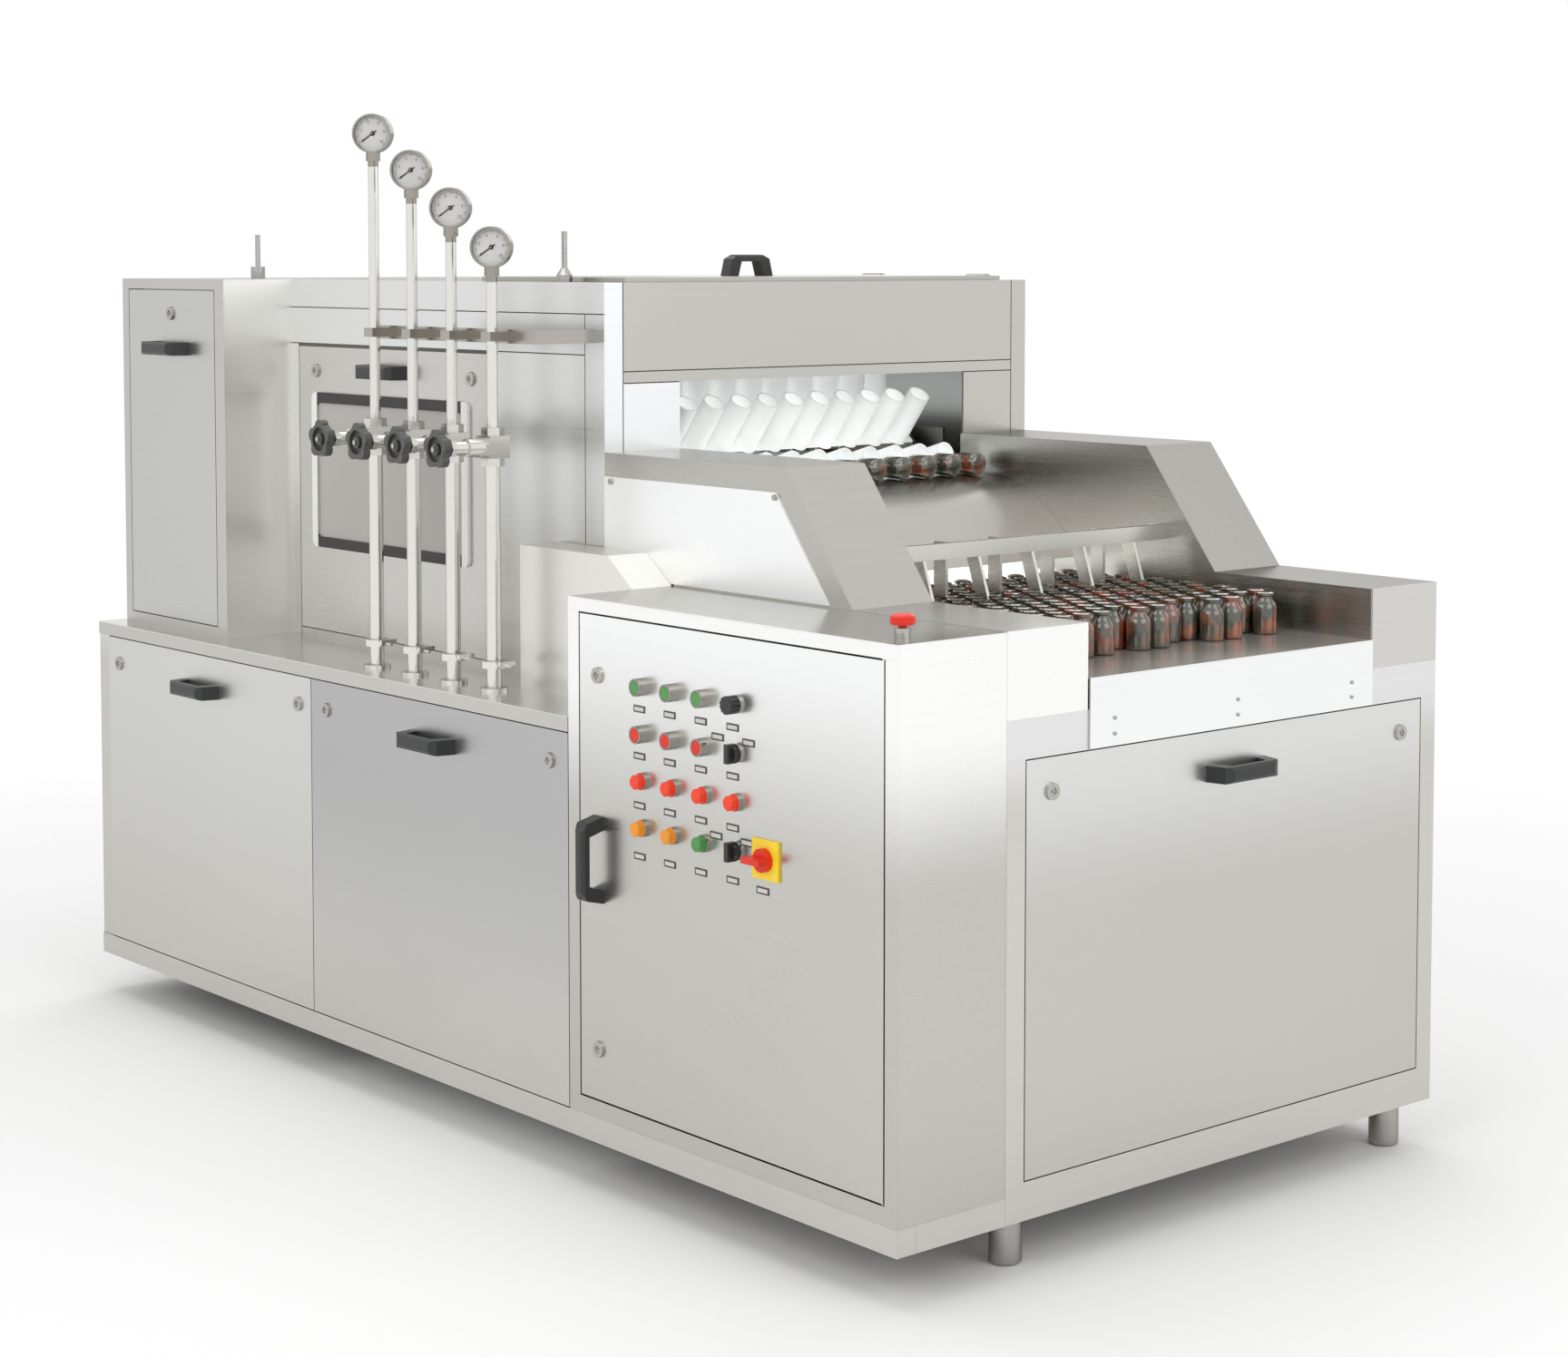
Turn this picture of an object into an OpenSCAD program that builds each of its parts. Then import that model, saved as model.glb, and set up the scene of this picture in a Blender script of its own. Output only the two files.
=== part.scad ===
// Vial washing machine: a belt infeed between two sloped walls, an inverting drum, an endless run of
// white carrier tubes over spray nozzles, a control cabinet and four gauge risers on the front deck.
// Millimetres. +X points to the infeed end, -Y to the operator, +Z up, with the floor at zero.

/* [Machine] */
// Length of the base
machine_length = 2400; // [2380:10:2700]
// Depth of the base
machine_depth = 1220; // [1200:5:1300]
// Height of the deck above the floor
deck_height = 760; // [740:5:800]
// Height of the roof above the floor
roof_height = 1455; // [1445:5:1540]
// Height of the frame's underside above the floor
foot_height = 80; // [65:5:110]

/* [Sheet and frame] */
// Thickness of the stainless sheet
sheet = 2; // [1.5:0.1:2.5]
// Width of the square frame tube
frame_tube = 38; // [34:1:40]
// Wall of the frame tube
tube_wall = 2; // [1.5:0.5:3]
// Height of the bottom ring of the frame
plinth = 40; // [36:1:44]
// Depth of the folded edge of a lift-off panel
panel_depth = 18; // [14:1:18]
// Gap around a lift-off panel
panel_gap = 2; // [1.5:0.5:3]
// Height of the deck's folded front lip
deck_lip = 25; // [18:1:32]

/* [Casings] */
// Distance from the infeed end to the hood face
infeed_length = 971; // [950:1:1000]
// Width of the control cabinet
control_width = 783; // [780:1:800]
// Height of the control cabinet's top above the deck
control_rise = 196; // [190:1:200]
// Width of the cabinet at the far end
tower_width = 410; // [390:5:430]
// Distance of that cabinet's front behind the base front
tower_setback = 63; // [50:1:90]
// Distance of the wash housing behind the base front
house_setback = 215; // [205:1:225]
// Width of a trough wall
wall_width = 170; // [160:1:175]

/* [Infeed] */
// Height of the vial table above the deck
table_rise = 114; // [112:1:118]
// Number of lanes
lane_count = 10; // [8:1:10]
// Distance between lanes
lane_pitch = 62; // [58:1:63]
// Radius of the belt rollers
belt_roller_r = 30; // [26:1:32]
// Thickness of the mesh belt
belt_thick = 3; // [2:0.5:4]
// Radius of the drum at its lifting bars
drum_r = 182; // [170:1:184]
// Number of lifting bars on the drum
drum_bars = 18; // [12:1:20]
// Outer radius of the drum guard
guard_r = 262; // [258:1:264]

/* [Carriers] */
// Height of the carrier shafts above the deck
chain_rise = 315; // [312:1:318]
// Distance between the carrier shafts
chain_length = 780; // [720:60:780]
// Rows of tubes round a carrier wheel
rows_per_turn = 10; // [8:2:10]
// Distance between rows of tubes
row_pitch = 60; // [58:1:61]
// Outer diameter of a carrier tube
tube_d = 42; // [36:1:44]
// Bore of a carrier tube
tube_bore = 36; // [28:1:36]
// Length of a carrier tube
tube_length = 105; // [90:1:106]

/* [Risers] */
// Distance between risers
riser_pitch = 123; // [110:1:130]
// Radius of the lower riser pipes
riser_r = 12.7; // [11:0.1:13]
// Radius of the upper riser pipes
upper_r = 9.5; // [8:0.1:10.5]
// Height of the valves above the deck
valve_rise = 417; // [400:1:430]
// Radius of a gauge case
gauge_r = 35; // [30:1:38]
// Radius of a valve handwheel
wheel_r = 34; // [28:1:36]

/* [Handles and fits] */
// Length of a bow handle
handle_length = 140; // [120:1:150]
// Height of a bow handle over its panel
handle_rise = 40; // [34:1:40]
// Width of a bow handle
handle_width = 26; // [20:1:30]
// Running clearance of a shaft in its bore
run_fit = 0.05; // [0.02:0.01:0.08]
// Gap of a piece at its seat
seat = 0.3; // [0.2:0.1:0.4]
// Hairline between two pieces that are fixed together
joint = 0.1; // [0.05:0.05:0.2]

/* [Hidden] */

$fn = 32;
over = 1;

// Planes of the base
x_r = machine_length / 2;
x_l = -x_r;
y_b = machine_depth / 2;
y_f = -y_b;
ring_z = foot_height + plinth;
deck_z = deck_height;
lip_z = deck_z - deck_lip;
in_x = x_l + sheet + seat;
in_y = y_b - sheet - seat;
post_y = y_f + sheet + seat;
behind_y = y_f + panel_depth + seat;

// Planes of the casings
hood_x = x_r - infeed_length;
cab_x = x_r - control_width;
cab_z = deck_z + control_rise;
tower_x = x_l + tower_width;
tower_y = y_f + tower_setback;
house_y = y_f + house_setback;
roof_z = roof_height;
strip_y = house_y - seat;
skin_y = house_y + sheet;

// Trough and lanes
trough_y0 = house_y + wall_width;
trough_y1 = y_b - wall_width;
trough_mid = (trough_y0 + trough_y1) / 2;
guard_end = seat;
table_z = deck_z + table_rise;
function lane_y(i) = trough_mid + (i - (lane_count - 1) / 2) * lane_pitch;

// Carrier path: wheels, chains, bars and tubes
pitch_r = rows_per_turn * row_pitch / (2 * PI);
chain_half = 6;
bar_r = pitch_r + chain_half;
bar_thick = 4;
tip_r = bar_r + bar_thick + tube_length;
head_gap = 186.6;
head_x = hood_x - head_gap;
tail_x = head_x - chain_length;
chain_z = deck_z + chain_rise;
row_count = rows_per_turn + 2 * round(chain_length / row_pitch);
first_row_at = 3.3;
path_length = row_count * row_pitch;
half_arc = PI * pitch_r;
chain_w = 12;
chain_inset = 8;
chain_y0 = trough_y0 + chain_inset;
chain_y1 = trough_y1 - chain_inset - chain_w;
shaft_r = 12.5;
plate_t = 6;
plate_out = 15;
plate_y0 = trough_y0 - plate_out - plate_t;
plate_y1 = trough_y1 + plate_out;

// Helpers
module box(x0, x1, y0, y1, z0, z1) {
    translate([x0, y0, z0]) cube([x1 - x0, y1 - y0, z1 - z0]);
}
module rod_x(r, x0, x1, y, z) {
    translate([x0, y, z]) rotate([0, 90, 0]) cylinder(r = r, h = x1 - x0);
}
module rod_y(r, y0, y1, x, z) {
    translate([x, y0, z]) rotate([-90, 0, 0]) cylinder(r = r, h = y1 - y0);
}
module rod_z(r, z0, z1, x, y) {
    translate([x, y, z0]) cylinder(r = r, h = z1 - z0);
}
module hex_z(r, z0, z1, x, y) {
    translate([x, y, z0]) cylinder(r = r, h = z1 - z0, $fn = 6);
}
module hex_y(r, y0, y1, x, z) {
    translate([x, y0, z]) rotate([-90, 0, 0]) cylinder(r = r, h = y1 - y0, $fn = 6);
}
// A square frame tube along each axis, open at both ends
module rail_x(x0, x1, y, z, h = frame_tube) {
    difference() {
        box(x0 + joint, x1 - joint, y, y + frame_tube, z, z + h);
        box(x0 - over, x1 + over, y + tube_wall, y + frame_tube - tube_wall,
            z + tube_wall, z + h - tube_wall);
    }
}
module rail_y(y0, y1, x, z, h = frame_tube) {
    difference() {
        box(x, x + frame_tube, y0 + joint, y1 - joint, z, z + h);
        box(x + tube_wall, x + frame_tube - tube_wall, y0 - over, y1 + over,
            z + tube_wall, z + h - tube_wall);
    }
}
module post(x, y, z0, z1) {
    difference() {
        box(x, x + frame_tube, y, y + frame_tube, z0 + joint, z1 - joint);
        box(x + tube_wall, x + frame_tube - tube_wall, y + tube_wall, y + frame_tube - tube_wall,
            z0 - over, z1 + over);
    }
}
// A closed loop round two wheels that lie along X, in the XZ plane
module loop_2d(r, x0, x1) {
    translate([x0, 0]) circle(r);
    translate([x1, 0]) circle(r);
    translate([x0, -r]) square([x1 - x0, 2 * r]);
}
module loop_band(r0, r1, x0, x1, y0, y1, z) {
    translate([0, y1, z]) rotate([90, 0, 0]) linear_extrude(y1 - y0) difference() {
        loop_2d(r1, x0, x1);
        loop_2d(r0, x0, x1);
    }
}
// An outline in the XZ plane, extruded from y0 to y1
module plate_xz(y0, y1, points) {
    translate([0, y1, 0]) rotate([90, 0, 0]) linear_extrude(y1 - y0) polygon(points);
}
// Places that set a piece made on the XY plane, facing +Z, on a panel
module on_front(x, y, z) {
    translate([x, y, z]) rotate([90, 0, 0]) children();
}
module on_front_upright(x, y, z) {
    translate([x, y, z]) rotate([90, 0, 0]) rotate([0, 0, 90]) children();
}
module on_end(x, y, z) {
    translate([x, y, z]) rotate([90, 0, 90]) children();
}
// A plate on the XY plane with a square hole, as four strips: a and b are its spans, c and d the hole's
module holed(a, b, c, d, thick = sheet) {
    box(a[0], a[1], b[0], d[0], 0, thick);
    box(a[0], a[1], d[1], b[1], 0, thick);
    box(a[0], c[0], d[0] + joint, d[1] - joint, 0, thick);
    box(c[1], a[1], d[0] + joint, d[1] - joint, 0, thick);
}

// Bow handle: a black bridge with rounded shoulders and two feet
handle_foot = 22;
handle_slope = 16;
handle_bar = 13;
handle_round = 8;
module handle_side(length) {
    half = length / 2;
    top = half - handle_slope;
    inner = half - handle_foot;
    difference() {
        union() {
            polygon([[-half, 0], [half, 0], [half - handle_slope / 2, handle_rise - handle_round],
                [top - handle_round, handle_rise], [-top + handle_round, handle_rise],
                [-half + handle_slope / 2, handle_rise - handle_round]]);
            for (s = [-1, 1]) {
                translate([s * (top - handle_round), handle_rise - handle_round])
                    circle(handle_round);
            }
        }
        polygon([[-inner, -over], [inner, -over], [inner - handle_slope / 2, handle_rise - handle_bar],
            [-inner + handle_slope / 2, handle_rise - handle_bar]]);
    }
}
module bow_handle(length = handle_length) {
    color([0.06, 0.06, 0.06]) translate([0, 0, joint]) intersection() {
        translate([0, handle_width / 2, 0]) rotate([90, 0, 0])
            linear_extrude(handle_width) handle_side(length);
        union() {
            box(-length, length, -handle_width / 2, handle_width / 2, -over,
                handle_rise - handle_round);
            for (s = [-1, 1]) {
                rod_x(handle_round, -length, length,
                    s * (handle_width / 2 - handle_round), handle_rise - handle_round);
            }
            box(-length, length, handle_round - handle_width / 2,
                handle_width / 2 - handle_round, -over, handle_rise);
        }
    }
}
// Quarter-turn lock: a chrome head with a key recess, its barrel through the sheet, and its cam
lock_r = 13;
lock_rise = 4;
lock_barrel_r = 9;
lock_length = 15;
key_r = 6;
cam_w = 14;
module lock() {
    color([0.75, 0.76, 0.78]) {
        difference() {
            union() {
                translate([0, 0, joint]) cylinder(r = lock_r, h = lock_rise);
                translate([0, 0, -lock_length]) cylinder(r = lock_barrel_r, h = lock_length + sheet);
            }
            translate([0, 0, lock_rise / 2]) cylinder(r = key_r, h = lock_rise);
        }
        translate([0, 0, lock_rise / 2]) cylinder(r = key_r / 2, h = lock_rise / 2, $fn = 3);
    }
}
lock_hole_r = lock_barrel_r + seat;
module lock_hole() {
    translate([0, 0, -over - sheet]) cylinder(r = lock_hole_r, h = sheet + 2 * over);
}
// A folded panel that faces -Y, open behind: its face and the four folded edges
module tray(x0, x1, y, z0, z1, depth = panel_depth) {
    box(x0, x1, y, y + sheet, z0, z1);
    on_front(0, y + depth, 0)
        holed([x0, x1], [z0, z1], [x0 + sheet, x1 - sheet], [z0 + sheet, z1 - sheet], depth - sheet - joint);
}

// Lift-off front panels
panel_z0 = ring_z + panel_gap;
panel_z1 = lip_z - panel_gap;
lock_drop = 51;
handle_drop = 65;
left_x0 = in_x + frame_tube + panel_gap;
left_width = 780.7;
left_x1 = left_x0 + left_width;
right_x0 = left_x1 + panel_gap;
right_x1 = cab_x - panel_gap;
left_lock_inset = 44;
right_lock_inset = 51;
left_handle_shift = 16;
end_lock_inset = 53;

// Base frame
mid_post_x = left_x1 - frame_tube / 2;
rear_cross_x = x_r / 2;
end_x = x_r - frame_tube;
end_ring_h = 58;
end_rail_rise = 6;
end_rail_z = deck_z + end_rail_rise;
end_rail_h = 60;
mid_y1 = house_y + frame_tube;
strip_w = 15;
foot_plate = 70;
foot_plate_t = 8;
foot_inset = 57;
foot_rear_inset = 50;
foot_x = x_r - foot_inset;
foot_front_y = house_y + foot_inset;
foot_rear_y = y_b - foot_rear_inset;
// Plugs that close the open end of a tube
module plug_x(x, y, z, h = frame_tube) {
    box(x, x + tube_wall, y + tube_wall + joint, y + frame_tube - tube_wall - joint,
        z + tube_wall + joint, z + h - tube_wall - joint);
}
module plug_y(x, y, z, h = frame_tube) {
    box(x + tube_wall + joint, x + frame_tube - tube_wall - joint, y, y + tube_wall,
        z + tube_wall + joint, z + h - tube_wall - joint);
}
module base_frame() {
    color([0.72, 0.73, 0.74]) {
        // Bottom ring
        rail_x(x_l, x_r, y_f, foot_height, plinth);
        rail_x(x_l, end_x, house_y, foot_height, plinth);
        rail_x(x_l, end_x, y_b - frame_tube, foot_height, plinth);
        rail_y(house_y, y_b, end_x, foot_height, end_ring_h);
        for (x = [x_l, mid_post_x, cab_x - frame_tube, end_x]) {
            rail_y(y_f + frame_tube, house_y, x, foot_height, plinth);
        }
        for (x = [x_l, mid_post_x, cab_x - frame_tube]) {
            rail_y(mid_y1, y_b - frame_tube, x, foot_height, plinth);
        }
        for (y = [y_f, house_y, y_b - frame_tube]) {
            plug_x(x_l + joint, y, foot_height, plinth);
        }
        plug_x(x_r - tube_wall - joint, y_f, foot_height, plinth);
        plug_y(end_x, y_b - tube_wall - joint, foot_height, end_ring_h);
        plug_y(end_x, y_b - tube_wall - joint, end_rail_z, end_rail_h);
        // Posts
        post(in_x, post_y, ring_z, deck_z - sheet);
        for (x = [mid_post_x, cab_x - panel_gap - frame_tube]) {
            post(x, behind_y, ring_z, deck_z - sheet - frame_tube);
        }
        for (x = [in_x, mid_post_x, cab_x - panel_gap - frame_tube], y = [house_y, in_y - frame_tube]) {
            post(x, y, ring_z, deck_z - sheet - frame_tube);
        }
        for (y = [house_y, y_b - frame_tube]) {
            post(end_x, y, foot_height + end_ring_h, end_rail_z);
        }
        // Top rails under the deck, and the high rail at the infeed end
        rail_x(in_x + frame_tube, right_x1, behind_y, deck_z - sheet - frame_tube);
        rail_x(in_x, end_x, house_y, deck_z - sheet - frame_tube);
        rail_x(in_x, end_x, in_y - frame_tube, deck_z - sheet - frame_tube);
        rail_y(house_y, y_b, end_x, end_rail_z, end_rail_h);
        rail_y(post_y + frame_tube, house_y, in_x, deck_z - sheet - frame_tube);
        for (x = [mid_post_x, cab_x - panel_gap - frame_tube]) {
            rail_y(behind_y + frame_tube, house_y, x, deck_z - sheet - frame_tube);
        }
        for (x = [in_x, mid_post_x, rear_cross_x]) {
            rail_y(mid_y1, in_y - frame_tube, x, deck_z - sheet - frame_tube);
        }
        // Stop strips behind the end panel
        for (y = [mid_y1 + joint, y_b - frame_tube - strip_w - joint]) {
            box(x_r - panel_depth - seat - sheet, x_r - panel_depth - seat, y, y + strip_w,
                foot_height + end_ring_h + joint, end_rail_z - joint);
        }
        // Plates over the feet
        for (x = [-1, 0, 1], y = [mid_y1 + joint, y_b - frame_tube - foot_plate - joint]) {
            box(x * foot_x - (x < 0 ? foot_x_rest : foot_plate / 2),
                x * foot_x + (x > 0 ? foot_x_rest : foot_plate / 2), y, y + foot_plate,
                foot_height, foot_height + foot_plate_t);
        }
    }
}
foot_x_rest = end_x - foot_x - joint;

// Levelling feet
foot_r = 25;
foot_chamfer = 3;
foot_groove = 1.5;
foot_groove_z = foot_height - 12;
module leveling_feet() {
    inner_r = foot_r - foot_groove;
    color([0.6, 0.61, 0.62]) for (x = [-foot_x, 0, foot_x], y = [foot_front_y, foot_rear_y]) {
        translate([x, y, 0]) rotate_extrude() polygon([[0, 0], [foot_r - foot_chamfer, 0],
            [foot_r, foot_chamfer], [foot_r, foot_groove_z], [inner_r, foot_groove_z],
            [inner_r, foot_groove_z + foot_groove], [foot_r, foot_groove_z + foot_groove],
            [foot_r, foot_height], [0, foot_height]]);
    }
}

// Risers: places on the front deck
riser_inset = 70;
riser_y = y_f + riser_inset;
riser_x0 = -262;
function riser_x(i) = riser_x0 + i * riser_pitch;
stub_clear = 0.5;

// Service pipes that leave through the rear sheet
stub_length = 50;
stub_r = 15;
inlet_drop = 100;
inlet_z = deck_z - inlet_drop;
water_x = -320;
air_x = -240;
drain_x = -900;
drain_rise = 130;
drain_z = foot_height + drain_rise;

// Cladding: deck with its folded lip, side and rear sheets, floor tray
sump_x = -700;
sump_edge = 7;
module base_cladding() {
    lip_top = deck_z - sheet - joint;
    color([0.82, 0.81, 0.79]) {
        // Deck: the front strip with the riser holes, and three sheets round the sump
        difference() {
            box(x_l, right_x1, y_f, strip_y, deck_z - sheet, deck_z);
            for (i = [0:3]) {
                rod_z(riser_r + stub_clear, lip_z, deck_z + over, riser_x(i), riser_y);
            }
        }
        box(x_l, sump_x - joint, strip_y + joint, y_b, deck_z - sheet, deck_z);
        box(sump_x, hood_x, strip_y + joint, trough_y0 - sump_edge, deck_z - sheet, deck_z);
        box(sump_x, hood_x, trough_y1 + sump_edge, y_b, deck_z - sheet, deck_z);
        // Folded lips in front, behind and at the far end
        box(x_l, right_x1, y_f, y_f + sheet, lip_z, lip_top);
        box(x_l, hood_x, y_b - sheet, y_b, lip_z, lip_top);
        box(x_l, x_l + sheet, y_f + sheet + joint, y_b - sheet - joint, lip_z, lip_top);
        // Side and rear sheets, floor
        box(x_l, x_l + sheet, post_y, in_y, ring_z, panel_z1);
        difference() {
            box(in_x, end_x - panel_gap, y_b - sheet, y_b, ring_z, panel_z1);
            for (x = [water_x, air_x]) {
                rod_y(riser_r + stub_clear, in_y - over, y_b + over, x, inlet_z);
            }
            rod_y(riser_r + stub_clear, in_y - over, y_b + over, drain_x, drain_z);
        }
        box(in_x + frame_tube + seat, end_x - seat, mid_y1 + seat, in_y - frame_tube - seat,
            ring_z, ring_z + sheet);
    }
}

// Front panels
module front_panel(x0, x1, lock_inset, handle_x) {
    color([0.8, 0.79, 0.77]) difference() {
        tray(x0, x1, y_f, panel_z0, panel_z1);
        for (x = [x0 + lock_inset, x1 - lock_inset]) {
            on_front(x, y_f, panel_z1 - lock_drop) lock_hole();
        }
    }
    for (x = [x0 + lock_inset, x1 - lock_inset]) {
        on_front(x, y_f, panel_z1 - lock_drop) lock();
    }
    on_front(handle_x, y_f, panel_z1 - handle_drop) bow_handle();
}
module front_panel_left() {
    front_panel(left_x0, left_x1, left_lock_inset, (left_x0 + left_x1) / 2 - left_handle_shift);
}
module front_panel_right() {
    front_panel(right_x0, right_x1, right_lock_inset, (right_x0 + right_x1) / 2);
}
end_panel_y0 = mid_y1 + panel_gap;
end_panel_y1 = y_b - frame_tube - panel_gap;
end_panel_z0 = foot_height + end_ring_h + panel_gap;
end_panel_z1 = end_rail_z - panel_gap;
module infeed_end_panel() {
    color([0.8, 0.79, 0.77]) difference() {
        rotate([0, 0, 90]) tray(end_panel_y0, end_panel_y1, -x_r, end_panel_z0, end_panel_z1);
        for (y = [end_panel_y0 + end_lock_inset, end_panel_y1 - end_lock_inset]) {
            on_end(x_r, y, end_panel_z1 - lock_drop) lock_hole();
        }
    }
    for (y = [end_panel_y0 + end_lock_inset, end_panel_y1 - end_lock_inset]) {
        on_end(x_r, y, end_panel_z1 - lock_drop) lock();
    }
    on_end(x_r, (end_panel_y0 + end_panel_y1) / 2, end_panel_z1 - handle_drop) bow_handle();
}

// Control cabinet
door_gap = 3;
door_left = 32;
door_right = 29;
door_under = 32;
door_over = 25;
door_x0 = cab_x + door_left;
door_x1 = x_r - door_right;
door_z0 = ring_z + door_under;
door_z1 = cab_z - door_over;
jamb = 24;
hinge_r = 3;
hinge_inset = 6.5;
hinge_block = 12;
hinge_x = door_x1 - hinge_inset;
hinge_y = y_f + hinge_inset;
pin_length = 11;
stop_w = 12;
cab_y1 = house_y - seat;
stop_button_inset = 58;
stop_button_back = 62;
stop_button_x = x_r - stop_button_inset;
stop_button_y = y_f + stop_button_back;
collar_r = 12;
collar_h = 14;
plunger_r = 6;
module control_cabinet() {
    wall_z0 = ring_z + sheet + joint;
    wall_z1 = cab_z - sheet - joint;
    gap_x = [door_x0 - door_gap, door_x1 + door_gap];
    gap_z = [door_z0 - door_gap, door_z1 + door_gap];
    stop_y = y_f + panel_depth + seat;
    color([0.84, 0.83, 0.81]) {
        on_front(0, y_f + sheet, 0) holed([cab_x, x_r], [wall_z0, wall_z1], gap_x, gap_z);
        for (x = [cab_x, x_r - sheet]) {
            box(x, x + sheet, y_f + sheet + joint, cab_y1 - sheet - joint, wall_z0, wall_z1);
        }
        box(cab_x, x_r, cab_y1 - sheet, cab_y1, wall_z0, wall_z1);
        box(cab_x, x_r, y_f, cab_y1, ring_z, ring_z + sheet);
        difference() {
            box(cab_x, x_r, y_f, cab_y1, cab_z - sheet, cab_z);
            rod_z(plunger_r + run_fit, cab_z - sheet - over, cab_z + over, stop_button_x, stop_button_y);
        }
    }
    // Jamb round the door, with a stop strip at the free edge and the two hinge pins
    color([0.8, 0.79, 0.77]) {
        on_front(0, y_f + jamb, 0) holed([gap_x[0] - sheet, gap_x[1] + sheet],
            [gap_z[0] - sheet, gap_z[1] + sheet], gap_x, gap_z, jamb - sheet - joint);
        box(gap_x[0] + joint, gap_x[0] + stop_w, stop_y, stop_y + sheet, gap_z[0] + joint, gap_z[1] - joint);
    }
    color([0.6, 0.61, 0.62]) {
        rod_z(hinge_r, gap_z[0], gap_z[0] + pin_length, hinge_x, hinge_y);
        rod_z(hinge_r, gap_z[1] - pin_length, gap_z[1], hinge_x, hinge_y);
    }
    color([0.75, 0.76, 0.78]) difference() {
        rod_z(collar_r, cab_z + joint, cab_z + collar_h, stop_button_x, stop_button_y);
        rod_z(plunger_r + run_fit, cab_z, cab_z + collar_h + over, stop_button_x, stop_button_y);
    }
}
travel = 4;
mushroom_r = 18.5;
mushroom_h = 16;
plunger_tail = 14;
module emergency_stop() {
    top_z = cab_z + collar_h + travel + seat;
    color([0.8, 0.06, 0.05]) {
        rod_z(plunger_r, cab_z - plunger_tail, top_z + over, stop_button_x, stop_button_y);
        translate([stop_button_x, stop_button_y, top_z]) rotate_extrude() polygon([[0, 0],
            [mushroom_r - sheet, 0], [mushroom_r, sheet], [mushroom_r, mushroom_h - 2 * sheet],
            [mushroom_r - sheet, mushroom_h - sheet], [mushroom_r - 3 * sheet, mushroom_h], [0, mushroom_h]]);
    }
}

// Control door and everything on it. Columns run to +X, rows run down
column_inset = 198;
row_drop = 125;
column_x = cab_x + column_inset;
column_pitch = 76.5;
row_z = cab_z - row_drop;
row_step = 74;
hole_r = 11.15;
barrel_r = 11;
control_inset = 48;
function control_x(c) = column_x + c * column_pitch;
function control_z(r) = row_z - r * row_step;
pushes = [[0, 0], [1, 0], [2, 0], [0, 1], [1, 1], [2, 1]];
turns = [[3, 0], [3, 1], [3, 3]];
lamps = [[0, 2], [1, 2], [2, 2], [3, 2], [0, 3], [1, 3], [2, 3]];
switch_inset = 497;
switch_drop = 349;
switch_x = cab_x + switch_inset;
switch_z = cab_z - switch_drop;
door_mid = (door_z0 + door_z1) / 2;
lock_from_top = 95;
lock_from_bottom = 82;
module control_door() {
    block_in = sheet + joint;
    color([0.82, 0.81, 0.79]) difference() {
        union() {
            tray(door_x0, door_x1, y_f, door_z0, door_z1);
            for (z = [door_z0 + block_in, door_z1 - block_in - hinge_block]) {
                box(door_x1 - block_in - hinge_block, door_x1 - block_in, y_f + block_in,
                    y_f + block_in + hinge_block, z, z + hinge_block);
            }
        }
        for (c = concat(pushes, turns, lamps)) {
            rod_y(hole_r, y_f - over, y_f + sheet + over, control_x(c[0]), control_z(c[1]));
        }
        rod_y(hole_r, y_f - over, y_f + sheet + over, switch_x, switch_z);
        for (z = [door_z1 - lock_from_top, door_z0 + lock_from_bottom]) {
            on_front(door_x0 + control_inset, y_f, z) lock_hole();
        }
        for (z = [door_z0 - over, door_z1 - block_in - hinge_block - over]) {
            rod_z(hinge_r + run_fit, z, z + block_in + hinge_block + 2 * over, hinge_x, hinge_y);
        }
    }
    for (z = [door_z1 - lock_from_top, door_z0 + lock_from_bottom]) {
        on_front(door_x0 + control_inset, y_f, z) lock();
    }
    on_front_upright(door_x0 + control_inset, y_f, door_mid - seat) bow_handle();
}
bezel_r = 14;
bezel_rise = 18;
stem_r = 8;
cap_r = 10.7;
cap_gap = 0.5;
cap_h = 5;
barrel_back = 24;
block_w = 28;
block_h = 34;
block_d = 26;
knob_plate_h = 4;
knob_stem_r = 3;
switch_plate = 60;
switch_plate_t = 4;
pocket = cap_h + travel + seat;
module push_bezel() {
    difference() {
        union() {
            cylinder(r = bezel_r, h = bezel_rise);
            translate([0, 0, -barrel_back]) cylinder(r = barrel_r, h = barrel_back);
        }
        translate([0, 0, bezel_rise - pocket]) cylinder(r = cap_r + cap_gap, h = pocket + over);
        translate([0, 0, -barrel_back - over]) cylinder(r = stem_r + run_fit, h = barrel_back + bezel_rise);
    }
}
module turn_bezel() {
    difference() {
        union() {
            cylinder(r = bezel_r, h = knob_plate_h);
            translate([0, 0, -barrel_back]) cylinder(r = barrel_r, h = barrel_back);
        }
        translate([0, 0, -barrel_back - over])
            cylinder(r = knob_stem_r + run_fit, h = barrel_back + knob_plate_h + 2 * over);
    }
}
module contact_block() {
    difference() {
        box(-block_w / 2, block_w / 2, -block_h / 2, block_h / 2, -barrel_back - block_d, -barrel_back);
        translate([0, 0, -barrel_back - block_d + sheet]) cylinder(r = stem_r + cap_gap, h = block_d);
    }
}
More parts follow.
